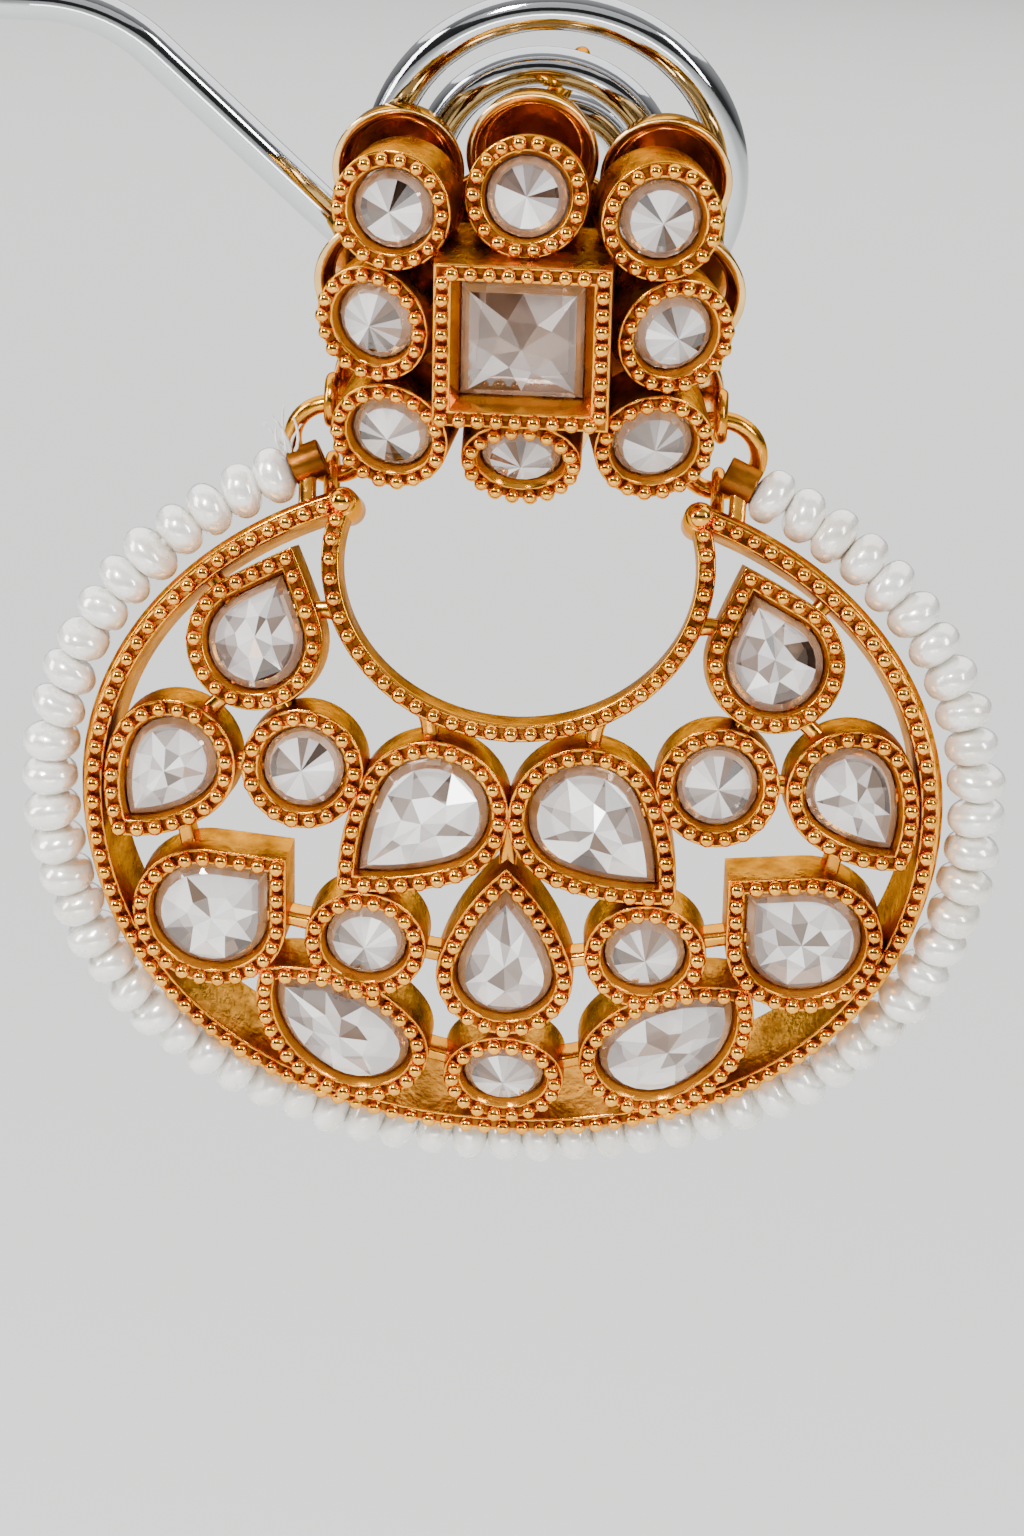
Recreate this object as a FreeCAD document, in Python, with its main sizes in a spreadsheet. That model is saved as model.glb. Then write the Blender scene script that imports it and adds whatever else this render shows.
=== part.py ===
import FreeCAD, Part
import math
import os

from FreeCAD import Placement, Rotation, Vector

# Chandbali earring on a plain wire display hook, in millimetres.
# The frame: +Z is up, the front faces -Y, and the origin is the seat of the ear post on the
# back of the stud. The earring hangs free, so the whole of it is modelled upright first and
# then leaned forward by hang_tilt about the origin, the angle at which it hangs in balance.

SIZES = [
    # name, value, meaning
    ("hang_tilt", 17.9, "forward lean of the hanging earring, degrees"),
    # the stud: a square collet with eight round ones about it, on a scalloped tray
    ("stud_deep", 9.0, "front of the square collet to the back of the tray"),
    ("post_rise", 8.2, "seat of the post above the middle of the stud"),
    ("square_half", 4.33, "half the outside width of the square collet"),
    ("square_deep", 5.2, "depth of the square collet"),
    ("square_bore", 3.06, "half the width of its opening at the stone"),
    ("square_mouth", 3.45, "half the width of that opening at the front"),
    ("square_flare", 1.1, "depth over which it narrows"),
    ("petal_back", 2.2, "the round collets stand this far behind the square one"),
    ("petal_out", 3.0, "outside radius of a stud's round collet"),
    ("petal_deep", 3.0, "depth of a stud's round collet"),
    ("tray_rad", 3.3, "radius of each scallop of the tray at its lip"),
    ("tray_back", 2.9, "radius of each scallop at the back"),
    ("tray_wall", 0.5, "thickness of the scalloped wall"),
    ("tray_deep", 1.8, "depth of the tray"),
    ("tray_floor", 0.7, "thickness of the tray's floor"),
    ("pillar_rad", 0.9, "radius of the pillar behind each round collet"),
    ("core_rad", 2.6, "radius of the pillar behind the square collet"),
    # the ear post, part of the soldered stud
    ("post_rad", 0.45, "radius of the post"),
    ("post_long", 9.5, "length of the post"),
    ("post_lean", 12.0, "sideways lean of the post, degrees"),
    ("pad_rad", 1.2, "radius of the post's foot"),
    ("pad_thick", 0.5, "thickness of the foot"),
    # the crescent drop, bent like a barrel stave
    ("drop_fall", 30.95, "foremost line of the drop below the middle of the stud"),
    ("drop_front", 3.8, "foremost line of the drop in front of the square collet"),
    ("bend_updown", 36.8, "bend radius from horn to bottom"),
    ("bend_across", 133.0, "bend radius from side to side"),
    ("rim_across", 21.25, "half width of the rim's middle line"),
    ("rim_low", 20.2, "rim's middle line below its widest level"),
    ("rim_high", 17.4, "height of the ellipse above that level"),
    ("rim_level", 6.3, "widest level of the rim above the foremost line"),
    ("rim_in", 0.4, "rim wall inside its middle line"),
    ("rim_out", 0.8, "rim wall outside its middle line"),
    ("rim_flat", 0.35, "flat of the rim outside its middle line"),
    ("rim_slope", 0.8, "depth of the rim's sloping shoulder"),
    ("rim_deep", 3.8, "depth of the rim"),
    ("mouth_across", 9.47, "half width of the mouth's middle line"),
    ("mouth_low", 8.4, "height of the mouth's ellipse"),
    ("mouth_level", 19.3, "level of its centre"),
    ("horn_across", 9.0, "the horns' tips from the middle"),
    ("horn_level", 22.1, "level of the horns' tips"),
    ("wall_half", 0.45, "half the thickness of a collet's wall"),
    ("setting_deep", 2.4, "depth of the drop's collets and of the mouth's rim"),
    ("ledge_level", 1.5, "depth of the ledge behind a stone"),
    ("ledge_in", 0.55, "width of that ledge"),
    ("bar_wide", 0.9, "width of a joining bar"),
    ("bar_level", 0.7, "depth at which a bar starts"),
    ("bar_deep", 1.3, "depth of a bar"),
    ("round_line", 2.69, "radius of a round collet's middle line"),
    # stones
    ("stone_inset", 0.62, "stone's edge inside its collet's middle line"),
    ("stone_gap", 0.06, "play round a stone"),
    ("girdle_level", 0.6, "depth of the stone's girdle"),
    ("girdle_thick", 0.25, "thickness of the girdle"),
    ("stone_rise", 0.9, "height of the point in front of the girdle"),
    ("stone_back", 0.75, "depth of the stone behind the girdle"),
    ("mouth_flare", 0.22, "widening of an opening at the front"),
    ("flare_deep", 0.5, "depth of that widening"),
    ("petal_line", 2.6, "radius of the middle line of a stud's collet"),
    ("square_stone", 3.0, "half width of the square stone"),
    # the rings that carry the drop
    ("ring_rad", 2.0, "middle radius of a jump ring"),
    ("ring_wire", 0.45, "radius of its wire"),
    ("eye_rad", 1.05, "middle radius of an eye"),
    ("eye_wire", 0.35, "radius of its wire"),
    ("eye_across", 9.8, "the eyes from the middle"),
    ("pivot_back", 6.7, "the pivot behind the front of the square collet"),
    ("pivot_fall", 6.55, "the pivot below the middle of the stud"),
    ("ring_play", 0.05, "play between linked rings"),
    # the string of pearls
    ("pearl_rad", 1.45, "radius of a pearl"),
    ("pearl_half", 0.82, "half the length of a pearl along the thread"),
    ("pearl_face", 0.75, "radius of a pearl's flat end"),
    ("pearl_hole", 0.35, "radius of the drilled hole"),
    ("pearl_count", 61.0, "pearls on the string"),
    ("pearl_off", 2.6, "the string outside the rim's middle line"),
    ("pearl_level", 1.1, "depth of the string behind the front of the rim"),
    ("string_end", 12.8, "the string's ends from the middle"),
    ("thread_rad", 0.22, "radius of the thread"),
    ("tube_out", 0.95, "outside radius of the eyelet that holds a thread's end"),
    ("tube_in", 0.35, "inside radius of that eyelet"),
    ("tube_long", 1.7, "length of that eyelet"),
    # the display hook
    ("hook_wire", 1.0, "radius of the hook's wire"),
    ("hook_gap", 0.3, "clearance between the stud and the hook"),
    ("coil_across", 1.0, "middle of the coil from the middle of the stud"),
    ("coil_up", 4.9, "height of the coil's middle"),
    ("coil_outer", 8.65, "radius of the first turn"),
    ("coil_entry", 9.34, "radius by which the arm enters the coil"),
    ("coil_step", 2.2, "each turn stands this far behind the one before"),
    ("turn_two", 5.7, "radius of the second turn"),
    ("turn_three", 3.4, "radius of the last turn, on which the post rests"),
    ("rest_fall", -1.6, "height of the last turn's middle from the coil's"),
    ("arm_turn", -134.3, "where the arm meets the coil, degrees"),
    ("arm_long", 17.9, "straight length of the arm"),
    ("arm_bend", 8.0, "radius of the arm's bend"),
    ("arm_end", 4.5, "level length at the arm's far end"),
]

# Round and pear collets of the crescent: the right half. A pear has its tip, its direction
# from the round end to the tip, its length from centre to tip, its round radius and its
# corner, all on the unrolled surface, where across is from the middle and level is upwards.
ROUNDS = [
    # name, across, level
    ("outer", 10.51, 8.34),
    ("inner", 7.18, -1.30),
]
PEARS = [
    # name, tip across, tip level, direction, length, round radius, corner
    ("horn", 11.63, 18.95, 109.6, 4.50, 3.05, 88.0),
    ("side", 19.90, 4.29, -54.3, 4.57, 2.88, 112.0),
    ("brow", 8.19, 2.46, -42.8, 5.87, 3.47, 95.0),
    ("leaf", 11.69, 2.96, 136.0, 5.00, 3.59, 92.0),
    ("foot", 12.22, -3.64, 44.9, 6.46, 3.29, 121.0),
]
MIDDLE_PEAR = ("middle", 0.0, 3.17, 90.0, 6.03, 3.08, 87.0)
MIDDLE_ROUND = ("bottom", 0.0, -9.98)

# Bars that join neighbouring collets and the rims, right half.
BARS = [
    # from across, from level, to across, to level
    (14.3, 16.4, 16.0, 18.1),
    (11.5, 16.4, 9.2, 16.6),
    (13.9, 12.5, 16.3, 10.0),
    (12.4, 12.4, 11.2, 10.4),
    (12.6, 8.2, 15.0, 8.1),
    (8.6, 7.5, 6.6, 6.8),
    (17.0, 5.6, 16.3, 2.4),
    (19.4, 7.6, 21.2, 7.4),
    (4.0, 9.4, 4.3, 11.6),
    (12.7, -0.4, 9.4, -0.9),
    (4.9, -1.9, 2.7, -2.3),
    (7.5, 1.0, 7.8, 2.9),
    (8.0, -3.6, 8.5, -5.4),
    (13.6, -2.7, 12.4, -4.4),
    (17.9, -3.1, 19.0, -3.9),
    (7.0, -11.2, 7.2, -12.5),
    (4.8, -8.9, 2.3, -9.7),
]
MIDDLE_BARS = [
    (0.0, 2.6, 0.0, 6.6),
    (0.0, -5.6, 0.0, -7.6),
    (0.0, -12.3, 0.0, -14.0),
]

# The stud's round collets: right, up, and the outward lean of each one, in degrees.
PETALS = [
    # name, across, up, lean across, lean up
    ("top", 0.0, 7.10, 0.0, 22.0),
    ("right", 7.50, 0.0, 21.0, 0.0),
    ("bottom", 0.0, -7.25, 0.0, -26.0),
    ("left", -7.50, 0.0, -21.0, 0.0),
    ("top_right", 6.60, 6.05, 11.0, 8.0),
    ("bottom_right", 6.60, -6.10, 11.0, -8.0),
    ("bottom_left", -6.60, -6.10, -11.0, -8.0),
    ("top_left", -6.60, 6.05, -11.0, 8.0),
]

FACETS = 16
RIM_POINTS = 40
TIP_POINTS = 8

doc = FreeCAD.newDocument("chandbali")
sheet = doc.addObject("Spreadsheet::Sheet", "sizes")
for row, (name, value, meaning) in enumerate(SIZES, start=1):
    sheet.set("A%d" % row, name)
    sheet.set("B%d" % row, str(value))
    sheet.set("C%d" % row, meaning)
    sheet.setAlias("B%d" % row, name)
doc.recompute()


def size(name):
    """The value of one driving dimension."""
    return float(getattr(sheet, name))


# Places and directions

HANG = Placement(Vector(0, 0, 0), Rotation(Vector(1, 0, 0), size("hang_tilt")))
STUD_MIDDLE = Vector(0, -size("stud_deep"), -size("post_rise"))
DROP_FRONT = STUD_MIDDLE + Vector(0, -size("drop_front"), -size("drop_fall"))
PIVOT = STUD_MIDDLE + Vector(size("eye_across"), size("pivot_back"), -size("pivot_fall"))


def stud_point(across, back, up):
    """A point from the middle of the square collet's front."""
    return STUD_MIDDLE + Vector(across, back, up)


def drop_normal(across, level):
    """The direction that the crescent's front faces at a point of the unrolled surface."""
    lean = level / size("bend_updown")
    reach = size("bend_across") + size("bend_updown") * (math.cos(lean) - 1)
    turn = math.asin(across / reach)
    return Vector(math.cos(lean) * math.sin(turn), -math.cos(lean) * math.cos(turn), math.sin(lean))


def drop_point(across, level, depth=0.0):
    """A point of the crescent: on its front, or at a depth behind it."""
    lean = level / size("bend_updown")
    reach = size("bend_across") + size("bend_updown") * (math.cos(lean) - 1)
    turn = math.asin(across / reach)
    front = Vector(
        reach * math.sin(turn),
        size("bend_across") - reach * math.cos(turn),
        size("bend_updown") * math.sin(lean),
    )
    return DROP_FRONT + front - drop_normal(across, level) * depth


def seat(origin, facing, rightwards=Vector(1, 0, 0)):
    """A placement whose +Z runs inwards, against facing, and whose +X runs rightwards."""
    inward = Vector(facing) * -1
    inward.normalize()
    side = rightwards - inward * rightwards.dot(inward)
    side.normalize()
    return Placement(origin, Rotation(side, inward.cross(side), inward, "ZXY"))


# Flat outlines, drawn in a seat's own plane: x rightwards, y downwards, z inwards


def pear_parts(length, radius, corner):
    """The side arc of a pear: its radius and its centre beside the axis."""
    half = math.radians(corner) / 2
    side = (length ** 2 - radius ** 2) / (2 * (length * math.sin(half) - radius))
    return side, length - side * math.sin(half), side * math.cos(half)


def pear_wire(pear, grow):
    """A pear's outline round its round end's centre, its axis along +X."""
    length, radius, corner = pear[4:7]
    side, along, beside = pear_parts(length, radius, corner)
    side_now = side + grow
    radius_now = radius + grow
    tip = Vector(along + math.sqrt(side_now ** 2 - beside ** 2), 0, 0)
    touch = math.atan2(beside, -along)
    tip_turn = math.atan2(beside, tip.x - along)
    middle_turn = (tip_turn + touch) / 2
    upper = Vector(radius_now * math.cos(touch), radius_now * math.sin(touch), 0)
    bulge = Vector(along + side_now * math.cos(middle_turn), side_now * math.sin(middle_turn) - beside, 0)
    lower = Vector(upper.x, -upper.y, 0)
    edges = [
        Part.Arc(tip, bulge, upper).toShape(),
        Part.Arc(upper, Vector(-radius_now, 0, 0), lower).toShape(),
        Part.Arc(lower, Vector(bulge.x, -bulge.y, 0), tip).toShape(),
    ]
    return Part.Wire(edges)


def pear_points(pear, grow, count):
    """Points round a pear, even in their angle about the middle of its length."""
    length, radius, corner = pear[4:7]
    middle = (length - radius) / 2
    wire = pear_wire(pear, grow)
    points = []
    for step in range(count):
        turn = 2 * math.pi * step / count
        ray = Part.makeLine(
            Vector(middle, 0, 0),
            Vector(middle + 20 * math.cos(turn), 20 * math.sin(turn), 0),
        )
        points.append(wire.distToShape(ray)[1][0][0])
    return points


def round_wire(radius):
    return Part.Wire([Part.makeCircle(radius)])


def square_wire(half):
    corners = [Vector(-half, -half, 0), Vector(half, -half, 0), Vector(half, half, 0), Vector(-half, half, 0)]
    return Part.makePolygon(corners + corners[:1])


def prism(wire, start, end):
    """An outline raised into a solid between two depths."""
    face = Part.Face(wire)
    face.translate(Vector(0, 0, start))
    return face.extrude(Vector(0, 0, end - start))


def flare(wide, narrow):
    """The sloping lead-in of an opening."""
    front = wide.copy()
    front.translate(Vector(0, 0, -0.001))
    back = narrow.copy()
    back.translate(Vector(0, 0, size("flare_deep")))
    return Part.makeLoft([front, back], True, True)


# Settings: each gives the blank of a collet and the hole for its stone


def open_setting(outline, deep):
    """A collet that is open behind: its blank and its hole, with a ledge for the stone."""
    edge = -size("stone_inset") + size("stone_gap")
    blank = prism(outline(size("wall_half")), 0, deep)
    hole = prism(outline(edge), -0.5, size("ledge_level"))
    through = prism(outline(edge - size("ledge_in")), 0, deep + 0.5)
    slope = flare(outline(edge + size("mouth_flare")), outline(edge))
    return blank, [hole, through, slope]


def pear_outline(pear):
    turn = math.radians(pear[3])

    def outline(grow):
        wire = pear_wire(pear, grow)
        wire.rotate(Vector(0, 0, 0), Vector(0, 0, 1), -math.degrees(turn))
        return wire

    return outline


def round_outline(radius):
    return lambda grow: round_wire(radius + grow)


def pear_centre(pear):
    """Across and level of a pear's round end."""
    turn = math.radians(pear[3])
    return pear[1] - pear[4] * math.cos(turn), pear[2] - pear[4] * math.sin(turn)


def drop_seat(across, level):
    """The seat of a collet on the crescent."""
    return seat(drop_point(across, level), drop_normal(across, level))


def pear_seat(pear):
    """A pear's seat touches the surface at the middle of its length."""
    turn = math.radians(pear[3])
    across, level = pear_centre(pear)
    slip = (pear[4] - pear[5]) / 2
    here = drop_seat(across + slip * math.cos(turn), level + slip * math.sin(turn))
    back = Vector(-slip * math.cos(turn), slip * math.sin(turn), 0)
    return here.multiply(Placement(back, Rotation()))


def mirrored(shape):
    """The left-hand twin of a right-hand shape."""
    return shape.mirror(Vector(0, 0, 0), Vector(1, 0, 0))


def placed(shape, place):
    copy = shape.copy()
    copy.Placement = place.multiply(copy.Placement)
    return copy


def drop_settings():
    """Blanks and holes of all sixteen collets of the crescent."""
    blanks = []
    holes = []
    for pear in PEARS:
        blank, cuts = open_setting(pear_outline(pear), size("setting_deep"))
        place = pear_seat(pear)
        blanks += [placed(blank, place), mirrored(placed(blank, place))]
        for cut in cuts:
            holes += [placed(cut, place), mirrored(placed(cut, place))]
    for name, across, level in ROUNDS:
        blank, cuts = open_setting(round_outline(size("round_line")), size("setting_deep"))
        place = drop_seat(across, level)
        blanks += [placed(blank, place), mirrored(placed(blank, place))]
        for cut in cuts:
            holes += [placed(cut, place), mirrored(placed(cut, place))]
    for outline, place in (
        (pear_outline(MIDDLE_PEAR), pear_seat(MIDDLE_PEAR)),
        (round_outline(size("round_line")), drop_seat(MIDDLE_ROUND[1], MIDDLE_ROUND[2])),
    ):
        blank, cuts = open_setting(outline, size("setting_deep"))
        blanks.append(placed(blank, place))
        holes += [placed(cut, place) for cut in cuts]
    return blanks, holes


# The crescent's two rims: ribbons of constant section along lines of the bent surface


def rim_line(turn):
    """The rim's middle line and its outward direction, turn 0 at the right, 90 at the top."""
    tall = size("rim_high") if math.sin(turn) > 0 else size("rim_low")
    across = size("rim_across") * math.cos(turn)
    level = size("rim_level") + tall * math.sin(turn)
    out = Vector(math.cos(turn) / size("rim_across"), math.sin(turn) / tall, 0)
    out.normalize()
    return across, level, out


def mouth_line(turn):
    """The mouth's middle line and the direction into the mouth, turn -90 at its bottom."""
    across = size("mouth_across") * math.cos(turn)
    level = size("mouth_level") + size("mouth_low") * math.sin(turn)
    out = Vector(-math.cos(turn) / size("mouth_across"), -math.sin(turn) / size("mouth_low"), 0)
    out.normalize()
    return across, level, out


def horn_turn_on_rim():
    return math.acos(size("horn_across") / size("rim_across"))


def horn_turn_on_mouth():
    return math.asin((size("horn_level") - size("mouth_level")) / size("mouth_low"))


def line_edge(points):
    curve = Part.BSplineCurve()
    curve.interpolate(points)
    return curve.toShape()


def ribbon(line, start, end, section):
    """A solid band whose section, in steps outwards and inwards, follows a line."""
    rails = []
    for outwards, depth in section:
        points = []
        for step in range(RIM_POINTS + 1):
            across, level, out = line(start + (end - start) * step / RIM_POINTS)
            points.append(drop_point(across + out.x * outwards, level + out.y * outwards, depth))
        rails.append(line_edge(points))
    faces = []
    for rail, following in zip(rails, rails[1:] + rails[:1]):
        faces.append(Part.makeRuledSurface(rail, following))
    for index in (0, 1):
        ends = [rail.Vertexes[index].Point for rail in rails]
        middle = sum(ends, Vector(0, 0, 0)) * (1.0 / len(ends))
        for first, second in zip(ends, ends[1:] + ends[:1]):
            faces.append(Part.Face(Part.makePolygon([middle, first, second, middle])))
    shell = Part.Compound(faces)
    shell.sewShape(1e-5)
    solid = Part.Solid(Part.Shell(shell.Faces))
    if solid.Volume < 0:
        solid.reverse()
    return solid


def outer_rim():
    section = [
        (-size("rim_in"), 0.0),
        (size("rim_flat"), 0.0),
        (size("rim_out"), size("rim_slope")),
        (size("rim_out"), size("rim_deep")),
        (-size("rim_in"), size("rim_deep")),
    ]
    horn = horn_turn_on_rim()
    right = ribbon(rim_line, horn, 0.0, section)
    low = ribbon(rim_line, 0.0, -math.pi, section)
    left = ribbon(rim_line, -math.pi, -math.pi - horn, section)
    return [right, low, left]


def mouth_rim():
    half = size("wall_half")
    deep = size("setting_deep")
    section = [(-half, 0.0), (half, 0.0), (half, deep), (-half, deep)]
    horn = horn_turn_on_mouth()
    return [ribbon(mouth_line, horn, -math.pi - horn, section)]


def horn_block():
    """The solid tip where the rim and the mouth's rim meet."""
    tip = drop_seat(size("horn_across"), size("horn_level"))
    return placed(prism(round_wire(size("rim_out")), 0.0, size("rim_deep")), tip)


def bar(from_across, from_level, to_across, to_level):
    """A plain bar between two points of the crescent, below its front."""
    first = drop_point(from_across, from_level, size("bar_level"))
    second = drop_point(to_across, to_level, size("bar_level"))
    along = second - first
    facing = drop_normal((from_across + to_across) / 2, (from_level + to_level) / 2)
    place = seat(first, facing, along)
    box = Part.makeBox(along.Length, size("bar_wide"), size("bar_deep"), Vector(0, -size("bar_wide") / 2, 0))
    return placed(box, place)


def horn_eye():
    """The upright eye on the back of a horn, which its jump ring passes through."""
    drop = 2 * size("ring_rad") - size("ring_wire") - size("ring_play")
    fall = drop + size("eye_rad") - size("eye_wire")
    centre = PIVOT - Vector(0, 0, fall)
    return Part.makeTorus(size("eye_rad"), size("eye_wire"), centre, Vector(1, 0, 0))


# The string's line, outside the rim


def string_turn():
    return math.acos(size("string_end") / (size("rim_across") + size("pearl_off")))


def string_point(turn):
    across, level, out = rim_line(turn)
    off = size("pearl_off")
    return drop_point(across + out.x * off, level + out.y * off, size("pearl_level"))


def string_stations(first, last, count):
    """Points and directions at equal steps of length along the string's line."""
    fine = 1200
    turns = [first + (last - first) * step / fine for step in range(fine + 1)]
    points = [string_point(turn) for turn in turns]
    run = [0.0]
    for before, after in zip(points, points[1:]):
        run.append(run[-1] + (after - before).Length)
    stations = []
    index = 0
    for number in range(count):
        target = run[-1] * number / (count - 1)
        while index < fine - 1 and run[index + 1] < target:
            index += 1
        share = (target - run[index]) / (run[index + 1] - run[index])
        place = points[index] + (points[index + 1] - points[index]) * share
        way = points[index + 1] - points[index]
        way.normalize()
        stations.append((place, way))
    return stations, run[-1]


def pearl_stations():
    turn = string_turn()
    return string_stations(turn, -math.pi - turn, int(size("pearl_count")))


def pearl():
    """One drilled button pearl along +X."""
    half = size("pearl_half")
    rim = Part.Arc(
        Vector(-half, size("pearl_face"), 0),
        Vector(0, size("pearl_rad"), 0),
        Vector(half, size("pearl_face"), 0),
    ).toShape()
    hole = size("pearl_hole")
    corners = [
        Vector(half, size("pearl_face"), 0),
        Vector(half, hole, 0),
        Vector(-half, hole, 0),
        Vector(-half, size("pearl_face"), 0),
    ]
    profile = Part.Face(Part.Wire([rim] + Part.makePolygon(corners).Edges))
    return profile.revolve(Vector(0, 0, 0), Vector(1, 0, 0), 360)


def pearl_string():
    bead = pearl()
    stations, length = pearl_stations()
    print("string of pearls: %.1f mm, pitch %.2f mm" % (length, length / (len(stations) - 1)))
    pearls = []
    for place, way in stations:
        pearls.append(placed(bead, Placement(place, Rotation(Vector(1, 0, 0), way))))
    return Part.Compound(pearls)


def thread_end(side):
    """Middle of the eyelet at one end of the string, and the way that the thread runs in it."""
    stations, length = pearl_stations()
    place, way = stations[0] if side > 0 else stations[-1]
    outwards = way * -1 if side > 0 else way
    gap = size("pearl_half") + 0.1 + size("tube_long") / 2
    return place + outwards * gap, outwards


def thread():
    """The thread through the pearls: straight runs from pearl to pearl, ended in the eyelets."""
    stations, length = pearl_stations()
    first, first_way = thread_end(1)
    last, last_way = thread_end(-1)
    reach = size("tube_long") / 2 - 0.1
    points = [first + first_way * reach] + [place for place, way in stations] + [last + last_way * reach]
    curve = Part.BSplineCurve()
    curve.interpolate(points[:-1:2] + points[-1:])
    path = Part.Wire([curve.toShape()])
    start = path.Edges[0].valueAt(path.Edges[0].FirstParameter)
    way = path.Edges[0].tangentAt(path.Edges[0].FirstParameter)
    section = Part.Wire([Part.makeCircle(size("thread_rad"), start, way)])
    return path.makePipeShell([section], True, False)


def eyelet(side):
    middle, way = thread_end(side)
    start = middle - way * (size("tube_long") / 2)
    outer = Part.makeCylinder(size("tube_out"), size("tube_long"), start, way)
    inner = Part.makeCylinder(size("tube_in"), size("tube_long") + 1, start - way * 0.5, way)
    return outer, inner


def eyelet_foot(side):
    """The web that ties an eyelet to the rim."""
    middle, way = thread_end(side)
    across = size("string_end") * side
    turn = math.acos(abs(across) / (size("rim_across") + size("pearl_off")))
    rim_across, rim_level, out = rim_line(turn)
    inner = drop_point(rim_across * side * 0.95, rim_level + 0.1, size("pearl_level"))
    along = inner - middle
    place = seat(middle, drop_normal(rim_across * side, rim_level), along)
    box = Part.makeBox(along.Length, 0.9, 0.9, Vector(0, -0.45, -0.45))
    return placed(box, place)


def drop_frame():
    """The crescent as one cast piece."""
    blanks, holes = drop_settings()
    blocks = outer_rim() + mouth_rim() + blanks
    blocks += [horn_block(), mirrored(horn_block())]
    for row in BARS:
        blocks += [bar(*row), mirrored(bar(*row))]
    blocks += [bar(*row) for row in MIDDLE_BARS]
    tubes = [eyelet(1), eyelet(-1)]
    blocks += [tube[0] for tube in tubes]
    blocks += [eyelet_foot(1), eyelet_foot(-1)]
    blocks += [horn_eye(), mirrored(horn_eye())]
    body = blocks[0].fuse(blocks[1:])
    return body.cut(holes + [tube[1] for tube in tubes])


# Stones: faceted solids from rings of points, set point forwards


def loft_points(rings):
    """A closed solid through rings of points that end in single points or flat polygons."""
    faces = []
    for lower, upper in zip(rings, rings[1:]):
        many = max(len(lower), len(upper))
        for step in range(many):
            a = lower[step * len(lower) // many % len(lower)]
            b = lower[(step + 1) * len(lower) // many % len(lower)]
            c = upper[step * len(upper) // many % len(upper)]
            d = upper[(step + 1) * len(upper) // many % len(upper)]
            for corners in ((a, b, c), (b, d, c)):
                if min(
                    (corners[0] - corners[1]).Length,
                    (corners[1] - corners[2]).Length,
                    (corners[2] - corners[0]).Length,
                ) > 1e-6:
                    faces.append(Part.Face(Part.makePolygon(list(corners) + [corners[0]])))
    table = rings[-1]
    faces.append(Part.Face(Part.makePolygon(table + table[:1])))
    shell = Part.Compound(faces)
    shell.sewShape(1e-5)
    solid = Part.Solid(Part.Shell(shell.Faces))
    if solid.Volume < 0:
        solid.reverse()
    return solid.removeSplitter()


def shrunk(points, share, middle, depth):
    """A smaller copy of a ring of points about a middle, at a depth."""
    ring = []
    for point in points:
        ring.append(Vector(middle.x + (point.x - middle.x) * share, middle.y + (point.y - middle.y) * share, depth))
    return ring


def stone(points, middle, level, rise, back):
    """A cut stone: a point and two rows of facets in front, a girdle and a flat table behind."""
    girdle = size("girdle_thick")
    star = shrunk(points[::2], 0.55, middle, level - rise * 0.62)
    rings = [
        [Vector(middle.x, middle.y, level - rise)],
        star,
        shrunk(points, 1.0, middle, level),
        shrunk(points, 1.0, middle, level + girdle),
        shrunk(points, 0.62, middle, level + girdle + back),
    ]
    return loft_points(rings)


def pear_stone(pear):
    """The stone of a pear collet, in the collet's own seat."""
    points = pear_points(pear, -size("stone_inset"), FACETS)
    turn = -math.radians(pear[3])
    turned = []
    for point in points:
        turned.append(Vector(
            point.x * math.cos(turn) - point.y * math.sin(turn),
            point.x * math.sin(turn) + point.y * math.cos(turn),
            0,
        ))
    slip = (pear[4] - pear[5]) / 2
    middle = Vector(slip * math.cos(turn), slip * math.sin(turn), 0)
    return stone(turned, middle, size("girdle_level"), size("stone_rise"), size("stone_back"))


def circle_points(radius, count):
    points = []
    for step in range(count):
        turn = 2 * math.pi * step / count
        points.append(Vector(radius * math.cos(turn), radius * math.sin(turn), 0))
    return points


def round_stone(radius):
    return stone(
        circle_points(radius, FACETS),
        Vector(0, 0, 0),
        size("girdle_level"),
        size("stone_rise"),
        size("stone_back"),
    )


def square_stone():
    """The square stone, its corners clipped and its sides in four steps."""
    half = size("square_stone")
    points = []
    for step in range(FACETS):
        turn = 2 * math.pi * step / FACETS
        reach = half / max(abs(math.cos(turn)), abs(math.sin(turn)))
        reach = min(reach, half * 1.3)
        points.append(Vector(reach * math.cos(turn), reach * math.sin(turn), 0))
    return stone(points, Vector(0, 0, 0), 1.2, 1.3, 1.1)


# The stud


def petal_seat(across, up, lean_across, lean_up):
    facing = Vector(math.tan(math.radians(lean_across)), -1, math.tan(math.radians(lean_up)))
    facing.normalize()
    return seat(stud_point(across, size("petal_back"), up), facing)


def add(kind, name, place, **bindings):
    """A primitive whose sizes are bound to the sheet."""
    thing = doc.addObject(kind, name)
    thing.Placement = place
    for prop, text in bindings.items():
        thing.setExpression(prop, text)
    return thing


def backwards(across, back, up):
    """A placement at a point of the stud whose +Z runs straight back."""
    return Placement(stud_point(across, back, up), Rotation(Vector(0, 0, 1), Vector(0, 1, 0)))


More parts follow.
